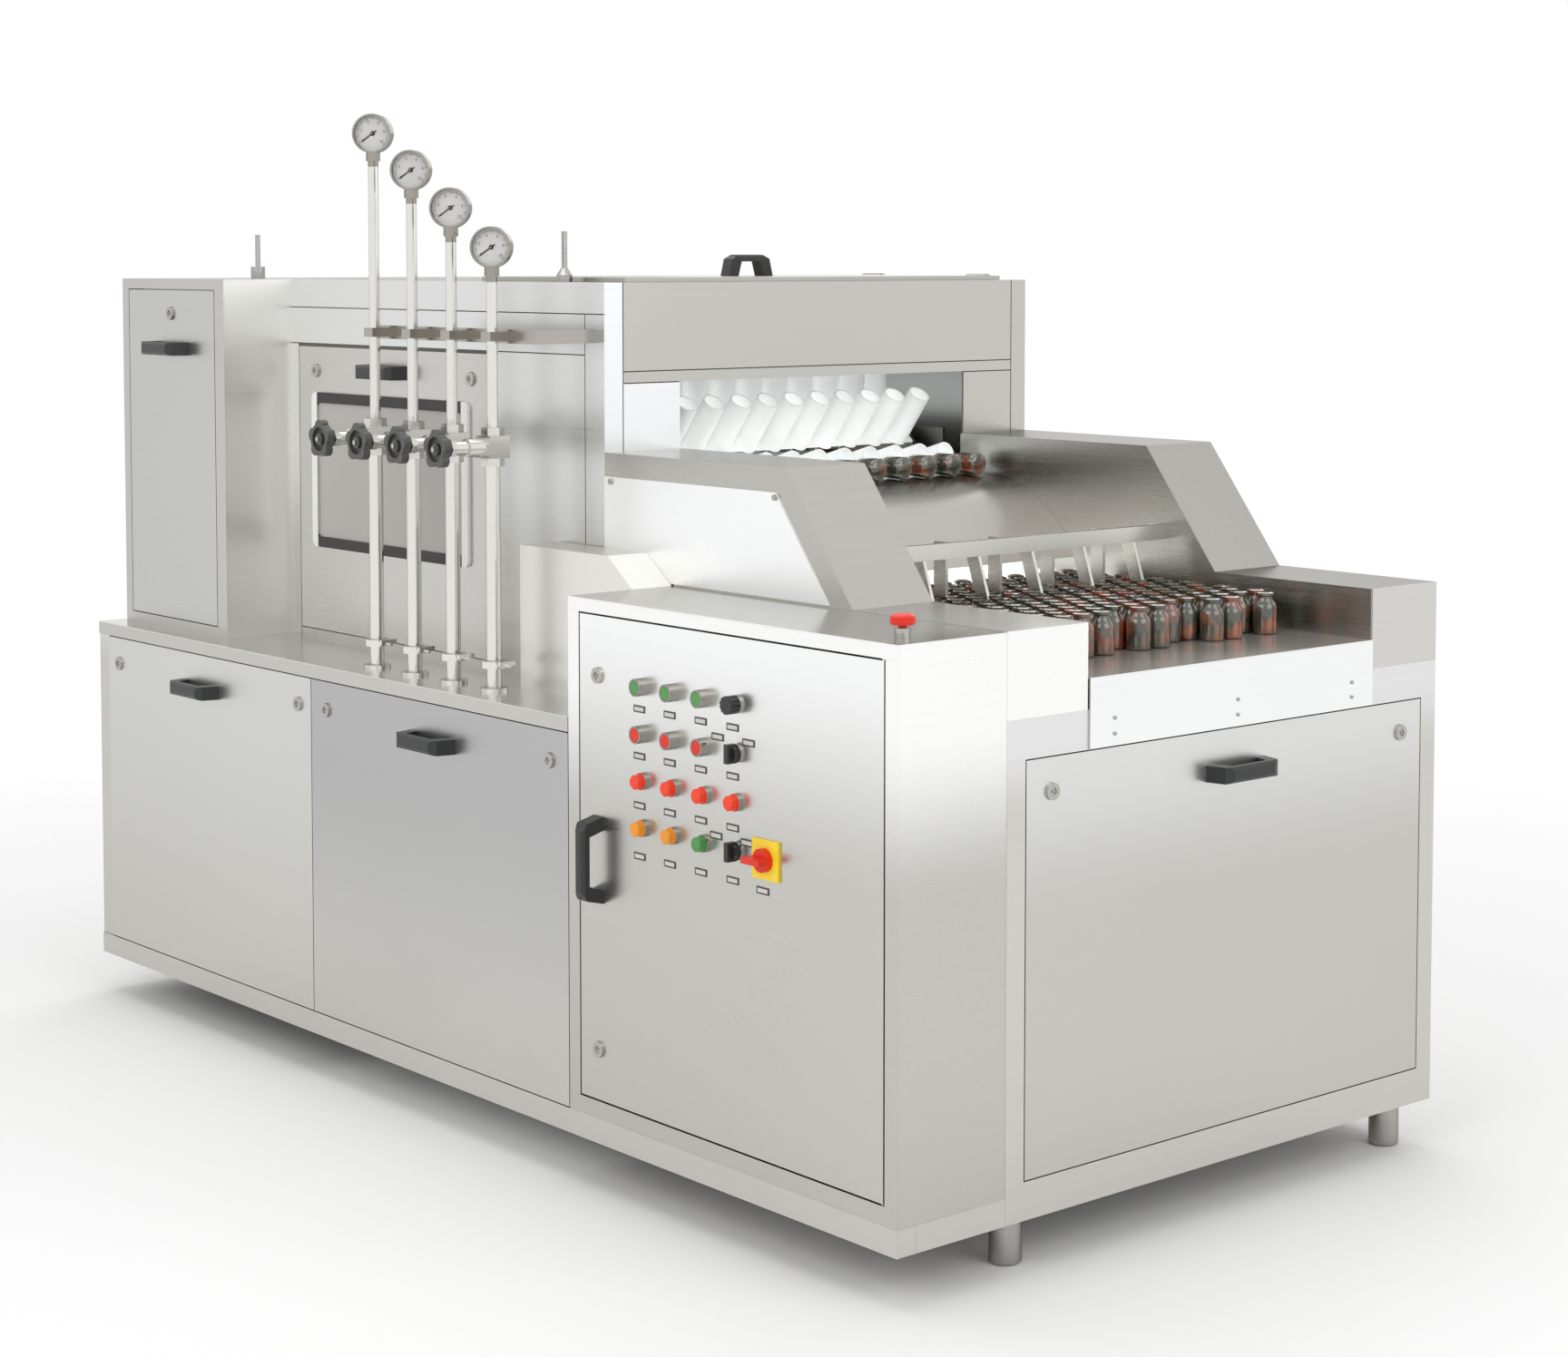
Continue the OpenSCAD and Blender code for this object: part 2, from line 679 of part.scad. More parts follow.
module control_bezels() {
    for (c = pushes) {
        on_front(control_x(c[0]), y_f, control_z(c[1])) {
            color([0.75, 0.76, 0.78]) push_bezel();
            color([0.2, 0.2, 0.22]) contact_block();
        }
    }
    for (c = turns) {
        on_front(control_x(c[0]), y_f, control_z(c[1])) {
            color([0.75, 0.76, 0.78]) turn_bezel();
            color([0.2, 0.2, 0.22]) contact_block();
        }
    }
    on_front(switch_x, y_f, switch_z) {
        color([0.95, 0.8, 0.1]) difference() {
            box(-switch_plate / 2, switch_plate / 2, -switch_plate / 2, switch_plate / 2, 0, switch_plate_t);
            translate([0, 0, -over]) cylinder(r = barrel_r + cap_gap, h = switch_plate_t + 2 * over);
        }
        color([0.2, 0.2, 0.22]) difference() {
            translate([0, 0, -barrel_back]) cylinder(r = barrel_r, h = barrel_back + switch_plate_t);
            translate([0, 0, -barrel_back - over])
                cylinder(r = knob_stem_r + run_fit, h = barrel_back + switch_plate_t + 2 * over);
        }
        color([0.2, 0.2, 0.22]) contact_block();
    }
}
lamp_r = 13.5;
lamp_base_h = 7;
lamp_rise = 20;
module pilot_lamps() {
    for (c = lamps) {
        shade = c[1] == 2 ? [0.75, 0.08, 0.06] : (c[0] < 2 ? [0.85, 0.6, 0.1] : [0.1, 0.55, 0.2]);
        on_front(control_x(c[0]), y_f, control_z(c[1])) {
            color([0.75, 0.76, 0.78]) cylinder(r = lamp_r, h = lamp_base_h);
            color(shade) translate([0, 0, lamp_base_h]) rotate_extrude() polygon([[0, 0],
                [lamp_r - sheet, 0], [lamp_r - sheet, lamp_rise - lamp_base_h - sheet],
                [lamp_r - 2 * sheet, lamp_rise - lamp_base_h], [0, lamp_rise - lamp_base_h]]);
            color([0.2, 0.2, 0.22]) translate([0, 0, -barrel_back]) cylinder(r = barrel_r, h = barrel_back);
            color([0.2, 0.2, 0.22]) box(-block_w / 2, block_w / 2, -block_h / 2, block_h / 2,
                -barrel_back - block_d, -barrel_back);
        }
    }
}
stem_tail = 12;
module push_button(i, shade) {
    c = pushes[i];
    on_front(control_x(c[0]), y_f, control_z(c[1])) color(shade) {
        translate([0, 0, bezel_rise - cap_h]) cylinder(r = cap_r, h = cap_h);
        translate([0, 0, -barrel_back - stem_tail])
            cylinder(r = stem_r, h = barrel_back + stem_tail + bezel_rise - cap_h / 2);
    }
}
knob_r = 14;
knob_h = 18;
knob_flutes = 12;
flute_r = 1.5;
lever_w = 9;
lever_tip = 15;
knob_tail = 8;
module knob_stem(base) {
    translate([0, 0, -barrel_back - knob_tail])
        cylinder(r = knob_stem_r, h = barrel_back + knob_tail + base + sheet);
}
module speed_knob() {
    c = turns[0];
    base = knob_plate_h + seat;
    on_front(control_x(c[0]), y_f, control_z(c[1])) color([0.05, 0.05, 0.05]) {
        knob_stem(base);
        translate([0, 0, base]) difference() {
            cylinder(r = knob_r, h = knob_h);
            for (a = [0:360 / knob_flutes:359]) {
                rotate([0, 0, a]) translate([knob_r, 0, sheet]) cylinder(r = flute_r, h = knob_h);
            }
        }
    }
}
module selector_knob(i) {
    c = turns[i];
    base = knob_plate_h + seat;
    on_front(control_x(c[0]), y_f, control_z(c[1])) color([0.05, 0.05, 0.05]) {
        knob_stem(base);
        translate([0, 0, base]) cylinder(r = bezel_r - sheet, h = knob_h / 2);
        box(-lever_w / 2, lever_w / 2, -knob_r, lever_tip, base, base + knob_h);
    }
}
switch_knob_r = 18;
switch_lever = 24;
module main_switch_knob() {
    base = switch_plate_t + seat;
    on_front(switch_x, y_f, switch_z) color([0.75, 0.06, 0.05]) {
        knob_stem(base);
        translate([0, 0, base]) cylinder(r = switch_knob_r, h = knob_h / 2);
        box(-switch_lever, switch_knob_r, -lever_w / 2, lever_w / 2, base, base + knob_h + lever_w);
    }
}

// Cable duct from the housing to the control cabinet
duct_x = 100;
duct_depth = 83;
duct_rise = 246;
duct_flat = 67;
module cable_duct() {
    duct_x1 = cab_x - seat;
    duct_y1 = house_y - sheet - seat;
    duct_z = deck_z + duct_rise;
    duct_y0 = duct_y1 - duct_depth;
    in_y0 = duct_y0 + sheet + joint;
    in_y1 = duct_y1 - sheet - joint;
    bend_x = duct_x1 - duct_flat;
    color([0.78, 0.77, 0.75]) {
        // Front and rear sheets
        for (y = [duct_y0, duct_y1 - sheet]) {
            plate_xz(y, y + sheet, [[duct_x, deck_z], [duct_x1, deck_z], [duct_x1, cab_z],
                [bend_x, duct_z], [duct_x, duct_z]]);
        }
        // Top, slope and the two ends between them
        box(duct_x, bend_x - joint, in_y0, in_y1, duct_z - sheet, duct_z);
        plate_xz(in_y0, in_y1, [[bend_x, duct_z], [bend_x, duct_z - 2 * sheet],
            [duct_x1, cab_z - 2 * sheet], [duct_x1, cab_z]]);
        box(duct_x, duct_x + sheet, in_y0, in_y1, deck_z, duct_z - sheet - joint);
        box(duct_x1 - sheet, duct_x1, in_y0, in_y1, deck_z, cab_z - 2 * sheet - joint);
    }
}

// Studs on the roof
stud_r = 5;
stud_rise = 88;
stud_back = 26;
stud_y = house_y + stud_back;
stud_nut_r = 14;
stud_nut_h = 12;
module roof_stud(x, cone) {
    color([0.65, 0.66, 0.68]) translate([x, stud_y, roof_z + joint]) {
        cylinder(r = stud_r, h = stud_rise - joint);
        hex_z(stud_nut_r, 0, stud_nut_h, 0, 0);
        translate([0, 0, stud_nut_h])
            cylinder(r1 = stud_nut_r, r2 = cone ? stud_r + over : stud_nut_r, h = stud_nut_h);
    }
}

// Cabinet at the far end, open to the wash housing, with the outfeed chute
tower_door_inset = 28;
tower_door_right = 38;
tower_door_under = 20;
tower_door_over = 22;
tower_door_z0 = deck_z + tower_door_under;
tower_door_z1 = roof_z - tower_door_over;
tower_door_x0 = x_l + tower_door_inset;
tower_door_x1 = tower_x - tower_door_right;
out_inset = 15;
out_rise = 140;
out_h = 300;
out_y0 = trough_y0 + out_inset;
out_y1 = trough_y1 - out_inset;
out_z0 = deck_z + out_rise;
out_z1 = out_z0 + out_h;
chute = 40;
chute_side = 30;
tower_stud_inset = 234;
tower_stud_x = x_l + tower_stud_inset;
module left_cabinet() {
    wall_z1 = roof_z - sheet - joint;
    wall_y0 = tower_y + sheet + joint;
    stop_y = tower_y + panel_depth + seat;
    ring_x = [tower_door_x0 - strip_w, tower_door_x1 + strip_w];
    ring_z_span = [tower_door_z0 - strip_w, tower_door_z1 + strip_w];
    color([0.83, 0.82, 0.8]) {
        on_front(0, tower_y + sheet, 0) holed([x_l, tower_x], [deck_z, wall_z1],
            [tower_door_x0 - panel_gap, tower_door_x1 + panel_gap],
            [tower_door_z0 - panel_gap, tower_door_z1 + panel_gap]);
        on_end(x_l, 0, 0)
            holed([wall_y0, y_b - sheet - joint], [deck_z, wall_z1], [out_y0, out_y1], [out_z0, out_z1]);
        box(x_l, tower_x, y_b - sheet, y_b, deck_z, wall_z1);
        box(tower_x - sheet, tower_x, wall_y0, skin_y, deck_z, wall_z1);
        box(x_l, tower_x, tower_y, y_b, roof_z - sheet, roof_z);
    }
    // Stop ring behind the door: its walls and the face that the door rests on
    color([0.8, 0.79, 0.77]) {
        on_front(0, stop_y, 0) holed(ring_x, ring_z_span, [ring_x[0] + sheet, ring_x[1] - sheet],
            [ring_z_span[0] + sheet, ring_z_span[1] - sheet], panel_depth + seat - sheet - joint);
        on_front(0, stop_y + joint + sheet, 0) holed(ring_x, ring_z_span,
            [tower_door_x0 + strip_w, tower_door_x1 - strip_w],
            [tower_door_z0 + strip_w, tower_door_z1 - strip_w]);
    }
    // Outfeed chute
    color([0.8, 0.79, 0.77]) {
        box(x_l - chute, x_l - joint, out_y0 - sheet, out_y1 + sheet, out_z0 - sheet, out_z0);
        for (y = [out_y0 - sheet, out_y1]) {
            box(x_l - chute, x_l - joint, y, y + sheet, out_z0 + joint, out_z0 + chute_side);
        }
    }
    roof_stud(tower_stud_x, false);
}
tower_lock_drop = 46;
tower_handle_drop = 115;
module cabinet_door() {
    mid_x = (tower_door_x0 + tower_door_x1) / 2;
    color([0.84, 0.83, 0.81]) difference() {
        tray(tower_door_x0, tower_door_x1, tower_y, tower_door_z0, tower_door_z1);
        on_front(mid_x, tower_y, tower_door_z1 - tower_lock_drop) lock_hole();
    }
    on_front(mid_x, tower_y, tower_door_z1 - tower_lock_drop) lock();
    on_front(mid_x, tower_y, tower_door_z1 - tower_handle_drop) bow_handle();
}

// Wash housing: skins with face plates laid on them, so that the seams are real grooves
groove = 2;
seam_high_drop = 55;
seam_low_drop = 125;
seam_inset = 54;
seam_high = roof_z - seam_high_drop;
seam_low = roof_z - seam_low_drop;
seam_x = hood_x - seam_inset;
win_left = 25;
win_right = 339;
win_under = 15;
win_over = 5;
win_x0 = tower_x + win_left;
win_x1 = hood_x - win_right;
win_z0 = deck_z + win_under;
win_z1 = seam_low - win_over;
win_edge = 20;
mouth_edge = 7;
mouth_drop = 171;
lintel_drop = 153;
mouth_z1 = roof_z - mouth_drop;
lintel_z1 = roof_z - lintel_drop;
hood_post = 37;
lid_x = 215;
lid_inset = 55;
lid_y0 = house_y + lid_inset;
lid_y1 = y_b - lid_inset;
lid_rise = 8;
rim = 20;
lid_pin_out = 6;
lid_pin_y = lid_y1 + lid_pin_out;
lid_pin_z = roof_z + lid_pin_out;
knuckle_r = 5.5;
knuckle_x = 150;
knuckle_w = 50;
ear = 4;
ear_gap = 0.5;
house_stud_inset = 149;
house_stud_x = hood_x - house_stud_inset;
plate_end = 122;
plate_x0 = tail_x - plate_end;
plate_x1 = head_x + plate_end;
hub_r = 30;
hub_t = 12;
rail_drop = 12;
module wash_housing() {
    wall_z1 = roof_z - sheet - joint;
    inner_x = hood_x - 2 * sheet;
    face_y1 = skin_y - joint;
    face_x0 = hood_x - sheet + joint;
    hatch_x = [-lid_x + rim, lid_x - rim];
    hatch_y = [lid_y0 + rim, lid_y1 - rim];
    // Front and rear skins, roof round the hatch, and the inner face round the mouth
    color([0.83, 0.82, 0.8]) {
        on_front(0, skin_y + sheet, 0) holed([tower_x, inner_x - joint], [deck_z, wall_z1],
            [win_x0 + win_edge, win_x1 - win_edge], [win_z0 + win_edge, win_z1 - win_edge]);
        box(tower_x, inner_x - joint, y_b - sheet, y_b, deck_z, wall_z1);
        translate([0, 0, roof_z - sheet])
            holed([tower_x, hood_x - sheet], [skin_y, y_b], hatch_x, hatch_y);
        for (y = [[skin_y, trough_y0 - mouth_edge], [trough_y1 + mouth_edge, y_b]]) {
            box(inner_x, hood_x - sheet, y[0], y[1], deck_z, mouth_z1 - joint);
        }
        box(inner_x, hood_x - sheet, skin_y, y_b, mouth_z1, wall_z1);
    }
    // Front face plates
    color([0.85, 0.84, 0.82]) {
        box(tower_x, hood_x, house_y, face_y1, seam_high + groove, roof_z);
        box(tower_x, seam_x - groove, house_y, face_y1, seam_low + groove, seam_high);
        box(win_x1 + groove, seam_x - groove, house_y, face_y1, deck_z, seam_low);
        box(seam_x, hood_x, house_y, face_y1, deck_z, seam_high);
        box(tower_x, win_x0 - groove, house_y, face_y1, deck_z, seam_low);
        box(win_x0, win_x1, house_y, face_y1, deck_z, win_z0 - groove);
    }
    // Hood face plates
    color([0.85, 0.84, 0.82]) {
        for (y = [skin_y, y_b - hood_post]) {
            box(face_x0, hood_x, y, y + hood_post, deck_z, roof_z);
        }
        for (z = [[lintel_z1 + groove, roof_z], [mouth_z1, lintel_z1]]) {
            box(face_x0, hood_x, skin_y + hood_post + groove, y_b - hood_post - groove, z[0], z[1]);
        }
        for (y = [[skin_y + hood_post + groove, trough_y0 - mouth_edge],
                [trough_y1 + mouth_edge, y_b - hood_post - groove]]) {
            box(face_x0, hood_x, y[0], y[1], deck_z, mouth_z1 - groove);
        }
    }
    // Rim under the lid, ears and hinge pins
    color([0.8, 0.79, 0.77]) translate([0, 0, roof_z + joint])
        holed([hatch_x[0] - sheet, hatch_x[1] + sheet], [hatch_y[0] - sheet, hatch_y[1] + sheet],
            hatch_x, hatch_y, lid_rise - 2 * sheet - joint);
    color([0.6, 0.61, 0.62]) for (s = [-1, 1]) {
        for (e = [-1, 1]) {
            translate([s * knuckle_x + e * (knuckle_w / 2 + ear_gap + ear / 2), 0, 0])
                box(-ear / 2, ear / 2, lid_pin_y - ear, lid_pin_y + ear, roof_z + joint, lid_pin_z + ear);
        }
        rod_x(hinge_r, s * knuckle_x - knuckle_w / 2 - ear_gap, s * knuckle_x + knuckle_w / 2 + ear_gap,
            lid_pin_y, lid_pin_z);
    }
    // Side plates that carry the shafts, with their bearings
    color([0.72, 0.73, 0.74]) for (y = [plate_y0, plate_y1]) {
        out_y = y == plate_y0 ? -hub_t : plate_t;
        difference() {
            union() {
                box(plate_x0, plate_x1, y, y + plate_t, deck_z, chain_z + pitch_r + bar_thick);
                for (x = [head_x, tail_x]) {
                    rod_y(hub_r, y + min(out_y, 0), y + max(out_y + hub_t, plate_t), x, chain_z);
                }
            }
            for (x = [head_x, tail_x]) {
                rod_y(shaft_r + run_fit, y - hub_t - over, y + plate_t + hub_t + over, x, chain_z);
            }
        }
    }
    roof_stud(house_stud_x, true);
}

// Window: lift-off panel, rubber gasket and glass
gasket_left = 53;
gasket_right = 66;
gasket_under = 162;
gasket_over = 88;
gasket_x0 = win_x0 + gasket_left;
gasket_x1 = win_x1 - gasket_right;
gasket_z0 = win_z0 + gasket_under;
gasket_z1 = win_z1 - gasket_over;
gasket_lip = 20;
gasket_rise = 6;
gasket_core = 6;
gasket_round = 14;
win_plate_y = skin_y - seat;
win_return = 14;
win_lock_drop = 46;
win_lock_inset = 62;
win_lock_x0 = win_x0 + win_lock_inset;
win_lock_x1 = win_x1 - win_lock_inset;
win_handle_drop = 42;
win_handle_shift = 10;
win_handle_x = (win_lock_x0 + win_lock_x1) / 2 - win_handle_shift;
// A rounded rectangle that faces -Y, from y0 to y1, r at its corners
module round_plate(x0, x1, z0, z1, r, y0, y1) {
    translate([0, y1, 0]) rotate([90, 0, 0]) linear_extrude(y1 - y0) union() {
        for (x = [x0 + r, x1 - r], z = [z0 + r, z1 - r]) {
            translate([x, z]) circle(r);
        }
        translate([x0 + r, z0]) square([x1 - x0 - 2 * r, z1 - z0]);
        translate([x0, z0 + r]) square([x1 - x0, z1 - z0 - 2 * r]);
    }
}
module window_panel() {
    hole = gasket_lip / 2;
    return_x = [win_x0 + win_edge + panel_gap, win_x1 - win_edge - panel_gap];
    return_z = [win_z0 + win_edge + panel_gap, win_z1 - win_edge - panel_gap];
    color([0.84, 0.83, 0.81]) on_front(0, win_plate_y + win_return, 0) holed(return_x, return_z,
        [return_x[0] + sheet, return_x[1] - sheet], [return_z[0] + sheet, return_z[1] - sheet],
        win_return - joint);
    color([0.84, 0.83, 0.81]) difference() {
        box(win_x0, win_x1, house_y, win_plate_y, win_z0, win_z1);
        round_plate(gasket_x0 + hole, gasket_x1 - hole, gasket_z0 + hole, gasket_z1 - hole,
            gasket_round / 2, house_y - over, win_plate_y + over);
        for (x = [win_lock_x0, win_lock_x1]) {
            on_front(x, house_y, win_z1 - win_lock_drop) lock_hole();
        }
    }
    for (x = [win_lock_x0, win_lock_x1]) {
        on_front(x, house_y, win_z1 - win_lock_drop) lock();
    }
    on_front(win_handle_x, house_y, win_z1 - win_handle_drop) bow_handle();
}
module window_gasket() {
    hole = gasket_lip / 2;
    color([0.08, 0.08, 0.08]) difference() {
        union() {
            round_plate(gasket_x0, gasket_x1, gasket_z0, gasket_z1, gasket_round,
                house_y - gasket_rise, house_y);
            round_plate(gasket_x0 + hole, gasket_x1 - hole, gasket_z0 + hole, gasket_z1 - hole,
                gasket_round / 2, house_y - over, win_plate_y + gasket_core);
        }
        round_plate(gasket_x0 + gasket_lip, gasket_x1 - gasket_lip, gasket_z0 + gasket_lip,
            gasket_z1 - gasket_lip, gasket_round / 2, house_y - gasket_rise - over,
            win_plate_y + gasket_core + over);
    }
}
glass_t = 5;
module window_glass() {
    color([0.7, 0.75, 0.75, 0.4]) round_plate(gasket_x0 + gasket_lip, gasket_x1 - gasket_lip,
        gasket_z0 + gasket_lip, gasket_z1 - gasket_lip, gasket_round / 2, house_y - glass_t / 2,
        house_y + glass_t / 2);
}

// Hinged lid on the roof
lid_handle_length = 105;
module hood_lid() {
    lid_z0 = roof_z + seat;
    lid_z1 = roof_z + lid_rise;
    color([0.82, 0.81, 0.79]) {
        box(-lid_x, lid_x, lid_y0, lid_y1, lid_z1 - sheet, lid_z1);
        translate([0, 0, lid_z0]) holed([-lid_x, lid_x], [lid_y0, lid_y1], [-lid_x + sheet, lid_x - sheet],
            [lid_y0 + sheet, lid_y1 - sheet], lid_rise - sheet - seat - joint);
        for (s = [-1, 1]) {
            difference() {
                union() {
                    rod_x(knuckle_r, s * knuckle_x - knuckle_w / 2, s * knuckle_x + knuckle_w / 2,
                        lid_pin_y, lid_pin_z);
                    box(s * knuckle_x - knuckle_w / 2, s * knuckle_x + knuckle_w / 2,
                        lid_y1 + joint, lid_pin_y, lid_z1 - sheet, lid_z1);
                }
                rod_x(hinge_r + run_fit, s * knuckle_x - knuckle_w, s * knuckle_x + knuckle_w,
                    lid_pin_y, lid_pin_z);
            }
        }
    }
    translate([0, trough_mid, lid_z1]) rotate([0, 0, 90]) bow_handle(lid_handle_length);
}

// Trough walls: closed boxes that slope down to the infeed end, with their bearings
wall_rise = 407;
wall_level = 471;
wall_slope = 162;
wall_top = deck_z + wall_rise;
wall_x1 = hood_x + wall_level;
slope_x1 = wall_x1 + wall_slope;
wall_end = x_r - sheet;
wall_clear = 4;
wall_low_x = end_x - wall_clear;
end_wall_z = end_rail_z + end_rail_h;
low_top = cab_z + over;
cover_in = 40;
cover_slope = 54;
screw_r = 5;
screw_h = 3;
screw_inset = 20;
screw_drop = 48;
drum_forward = 121;
drum_rise = 55;
drum_x = hood_x + drum_forward;
drum_z = deck_z + drum_rise;
drum_shaft_r = 15;
belt_back = 353;
belt_front = 225;
belt_z = table_z - belt_thick - belt_roller_r;
belt_x0 = hood_x + belt_back;
belt_x1 = x_r - belt_front;
journal_r = 10;
bearing_t = 8;
bearing_w = 46;
// A wall's two side sheets, each in three parts, and the strips between them
module trough_wall(y0, y1) {
    floor_z = deck_z - sheet;
    in_y0 = y0 + sheet + joint;
    in_y1 = y1 - sheet - joint;
    for (y = [y0, y1 - sheet]) {
        plate_xz(y, y + sheet, [[hood_x, floor_z], [hood_x, wall_top], [wall_x1, wall_top],
            [slope_x1, low_top], [slope_x1, floor_z]]);
        box(slope_x1 + joint, wall_low_x, y, y + sheet, floor_z, low_top);
        box(wall_low_x + joint, wall_end, y, y + sheet, end_wall_z, low_top);
    }
    box(hood_x, wall_x1, in_y0, in_y1, wall_top - sheet, wall_top);
    plate_xz(in_y0, in_y1, [[wall_x1 + joint, wall_top], [wall_x1 + joint, wall_top - 2 * sheet],
        [slope_x1, low_top - 2 * sheet], [slope_x1, low_top]]);
    box(slope_x1 + joint, wall_end, in_y0, in_y1, low_top - sheet, low_top);
    box(wall_end - sheet, wall_end, in_y0, in_y1, end_wall_z, low_top - sheet - joint);
    box(hood_x, hood_x + sheet, in_y0, in_y1, deck_z + joint, wall_top - sheet - joint);
    box(hood_x, wall_low_x, in_y0, in_y1, floor_z, deck_z);
}
module bearing(x, z, r, y0, y1) {
    difference() {
        box(x - bearing_w / 2, x + bearing_w / 2, y0, y1, z - bearing_w / 2, z + bearing_w / 2);
        rod_y(r + run_fit, y0 - over, y1 + over, x, z);
    }
}
module infeed_side_walls() {
    color([0.82, 0.81, 0.79]) {
        trough_wall(house_y, trough_y0);
        trough_wall(trough_y1, y_b);
        // End caps
        box(wall_end + joint, x_r, house_y, trough_y0 - sheet, end_wall_z + joint, low_top);
        box(wall_end + joint, x_r, trough_y1 + sheet, y_b, end_wall_z + joint, low_top);
        // Screwed cover on the front wall
        plate_xz(house_y - sheet, house_y - joint, [[hood_x + groove, low_top + groove],
            [hood_x + groove, wall_top - cover_in], [wall_x1 - cover_in / 2, wall_top - cover_in],
            [slope_x1 - cover_slope, low_top + groove]]);
    }
    color([0.7, 0.71, 0.73]) {
        for (x = [hood_x + screw_inset, wall_x1 - screw_inset]) {
            on_front(x, house_y - sheet - joint, wall_top - screw_drop) cylinder(r = screw_r, h = screw_h);
        }
        for (y = [trough_y0 + joint, trough_y1 - bearing_t - joint]) {
            bearing(drum_x, drum_z, drum_shaft_r, y, y + bearing_t);
            bearing(belt_x0, belt_z, journal_r, y, y + bearing_t);
            bearing(belt_x1, belt_z, journal_r, y, y + bearing_t);
        }
    }
}

// Infeed table: dead plate, apron with screws, belt bed on its cross bars
apron_t = 3;
apron_rise = 7;
apron_z0 = deck_z + apron_rise;
table_gap = 4;
table_x0 = belt_x1 + belt_roller_r + belt_thick + table_gap;
bed_clear = 45;
bed_x0 = belt_x0 + bed_clear;
bed_x1 = belt_x1 - bed_clear;
bed_t = 3;
bed_bar_w = 20;
bed_bar_h = 20;
apron_screw_r = 3;
apron_screw_h = 1.5;
apron_screw_low = 18;
apron_screw_high = 42;
apron_column_shares = [0.08, 0.5, 0.92];
rib_t = 3;
module infeed_table() {
    ty0 = trough_y0 + guard_end;
    ty1 = trough_y1 - guard_end;
    belt_under = table_z - belt_thick - seat;
    color([0.84, 0.83, 0.81]) {
        box(table_x0, x_r + apron_t, ty0, ty1, table_z - sheet, table_z);
        box(x_r, x_r + apron_t, ty0, ty1, apron_z0, table_z - sheet - joint);
        box(end_x, end_x + rib_t, ty0, ty1, end_wall_z, table_z - sheet - joint);
        box(bed_x0, bed_x1, ty0 + bearing_t, ty1 - bearing_t, belt_under - bed_t, belt_under);
        for (x = [bed_x0, (bed_x0 + bed_x1) / 2, bed_x1 - bed_bar_w]) {
            box(x, x + bed_bar_w, ty0, ty1, belt_under - bed_t - bed_bar_h, belt_under - bed_t - joint);
        }
    }
    color([0.6, 0.61, 0.62]) for (share = apron_column_shares,
            z = [apron_z0 + apron_screw_low, apron_z0 + apron_screw_high]) {
        on_end(x_r + apron_t + joint, ty0 + share * (ty1 - ty0), z)
            cylinder(r = apron_screw_r, h = apron_screw_h);
    }
}

belt_inset = 10;
belt_y0 = trough_y0 + belt_inset;
belt_y1 = trough_y1 - belt_inset;
module infeed_belt() {
    color([0.7, 0.71, 0.72]) loop_band(belt_roller_r, belt_roller_r + belt_thick, belt_x0, belt_x1,
        belt_y0, belt_y1, belt_z);
}
module belt_roller(x) {
    color([0.6, 0.61, 0.62]) {
        rod_y(belt_roller_r - seat, belt_y0, belt_y1, x, belt_z);
        rod_y(journal_r, trough_y0 + seat, trough_y1 - seat, x, belt_z);
    }
}

// Crossbar with its lane blades
cross_forward = 522;
cross_rise = 246;
blade_rise = 61;
cross_x = hood_x + cross_forward;
cross_t = 12;
cross_z = deck_z + cross_rise;
cross_h = 26;
blade_z = table_z + blade_rise;
blade_w = 28;
blade_t = 6;
blade_lean = 24;
bracket_w = 40;
bracket_t = 3;
module lane_guides() {
    color([0.8, 0.79, 0.77]) {
        box(cross_x - cross_t, cross_x, trough_y0 + bracket_t + seat, trough_y1 - bracket_t - seat,
            cross_z, cross_z + cross_h);
        for (y = [trough_y0 + seat - joint, trough_y1 - bracket_t - seat + joint]) {
            box(cross_x - bracket_w, cross_x, y, y + bracket_t, cross_z, cross_z + cross_h);
        }
        for (i = [0:lane_count - 2]) {
            y = (lane_y(i) + lane_y(i + 1)) / 2 - blade_t / 2;
            if (i % 2 == 0) {
                plate_xz(y, y + blade_t, [[cross_x, cross_z - joint], [cross_x + blade_lean, blade_z],
                    [cross_x + blade_lean - blade_w, blade_z], [cross_x - blade_w, cross_z - joint]]);
            } else {
                box(cross_x - cross_t - joint - blade_w, cross_x - cross_t - joint, y, y + blade_t,
                    blade_z, cross_z + cross_h);
            }
        }
    }
}

// Curved guard over the drum, with the flat shelf that runs back under the tube mouths
guard_forward = 69;
guard_rise = 75;
guard_x = hood_x + guard_forward;
guard_z = deck_z + guard_rise;
guard_low = 28;
shelf_back = 43;
guard_far = 3;
module guard_wedge(far) {
    low = [far * cos(guard_low), far * sin(guard_low)];
    polygon([[0, 0], low, [far, far], [0, far]]);
}
module drum_guard() {
    color([0.85, 0.85, 0.85]) {
        translate([guard_x, trough_y1 - guard_end, guard_z]) rotate([90, 0, 0])
            linear_extrude(trough_y1 - trough_y0 - 2 * guard_end) {
            intersection() {
                difference() {
                    circle(guard_r);
                    circle(guard_r - sheet);
                }
                guard_wedge(guard_far * guard_r);
            }
            translate([-shelf_back, guard_r - sheet]) square([shelf_back, sheet]);
        }
    }
}

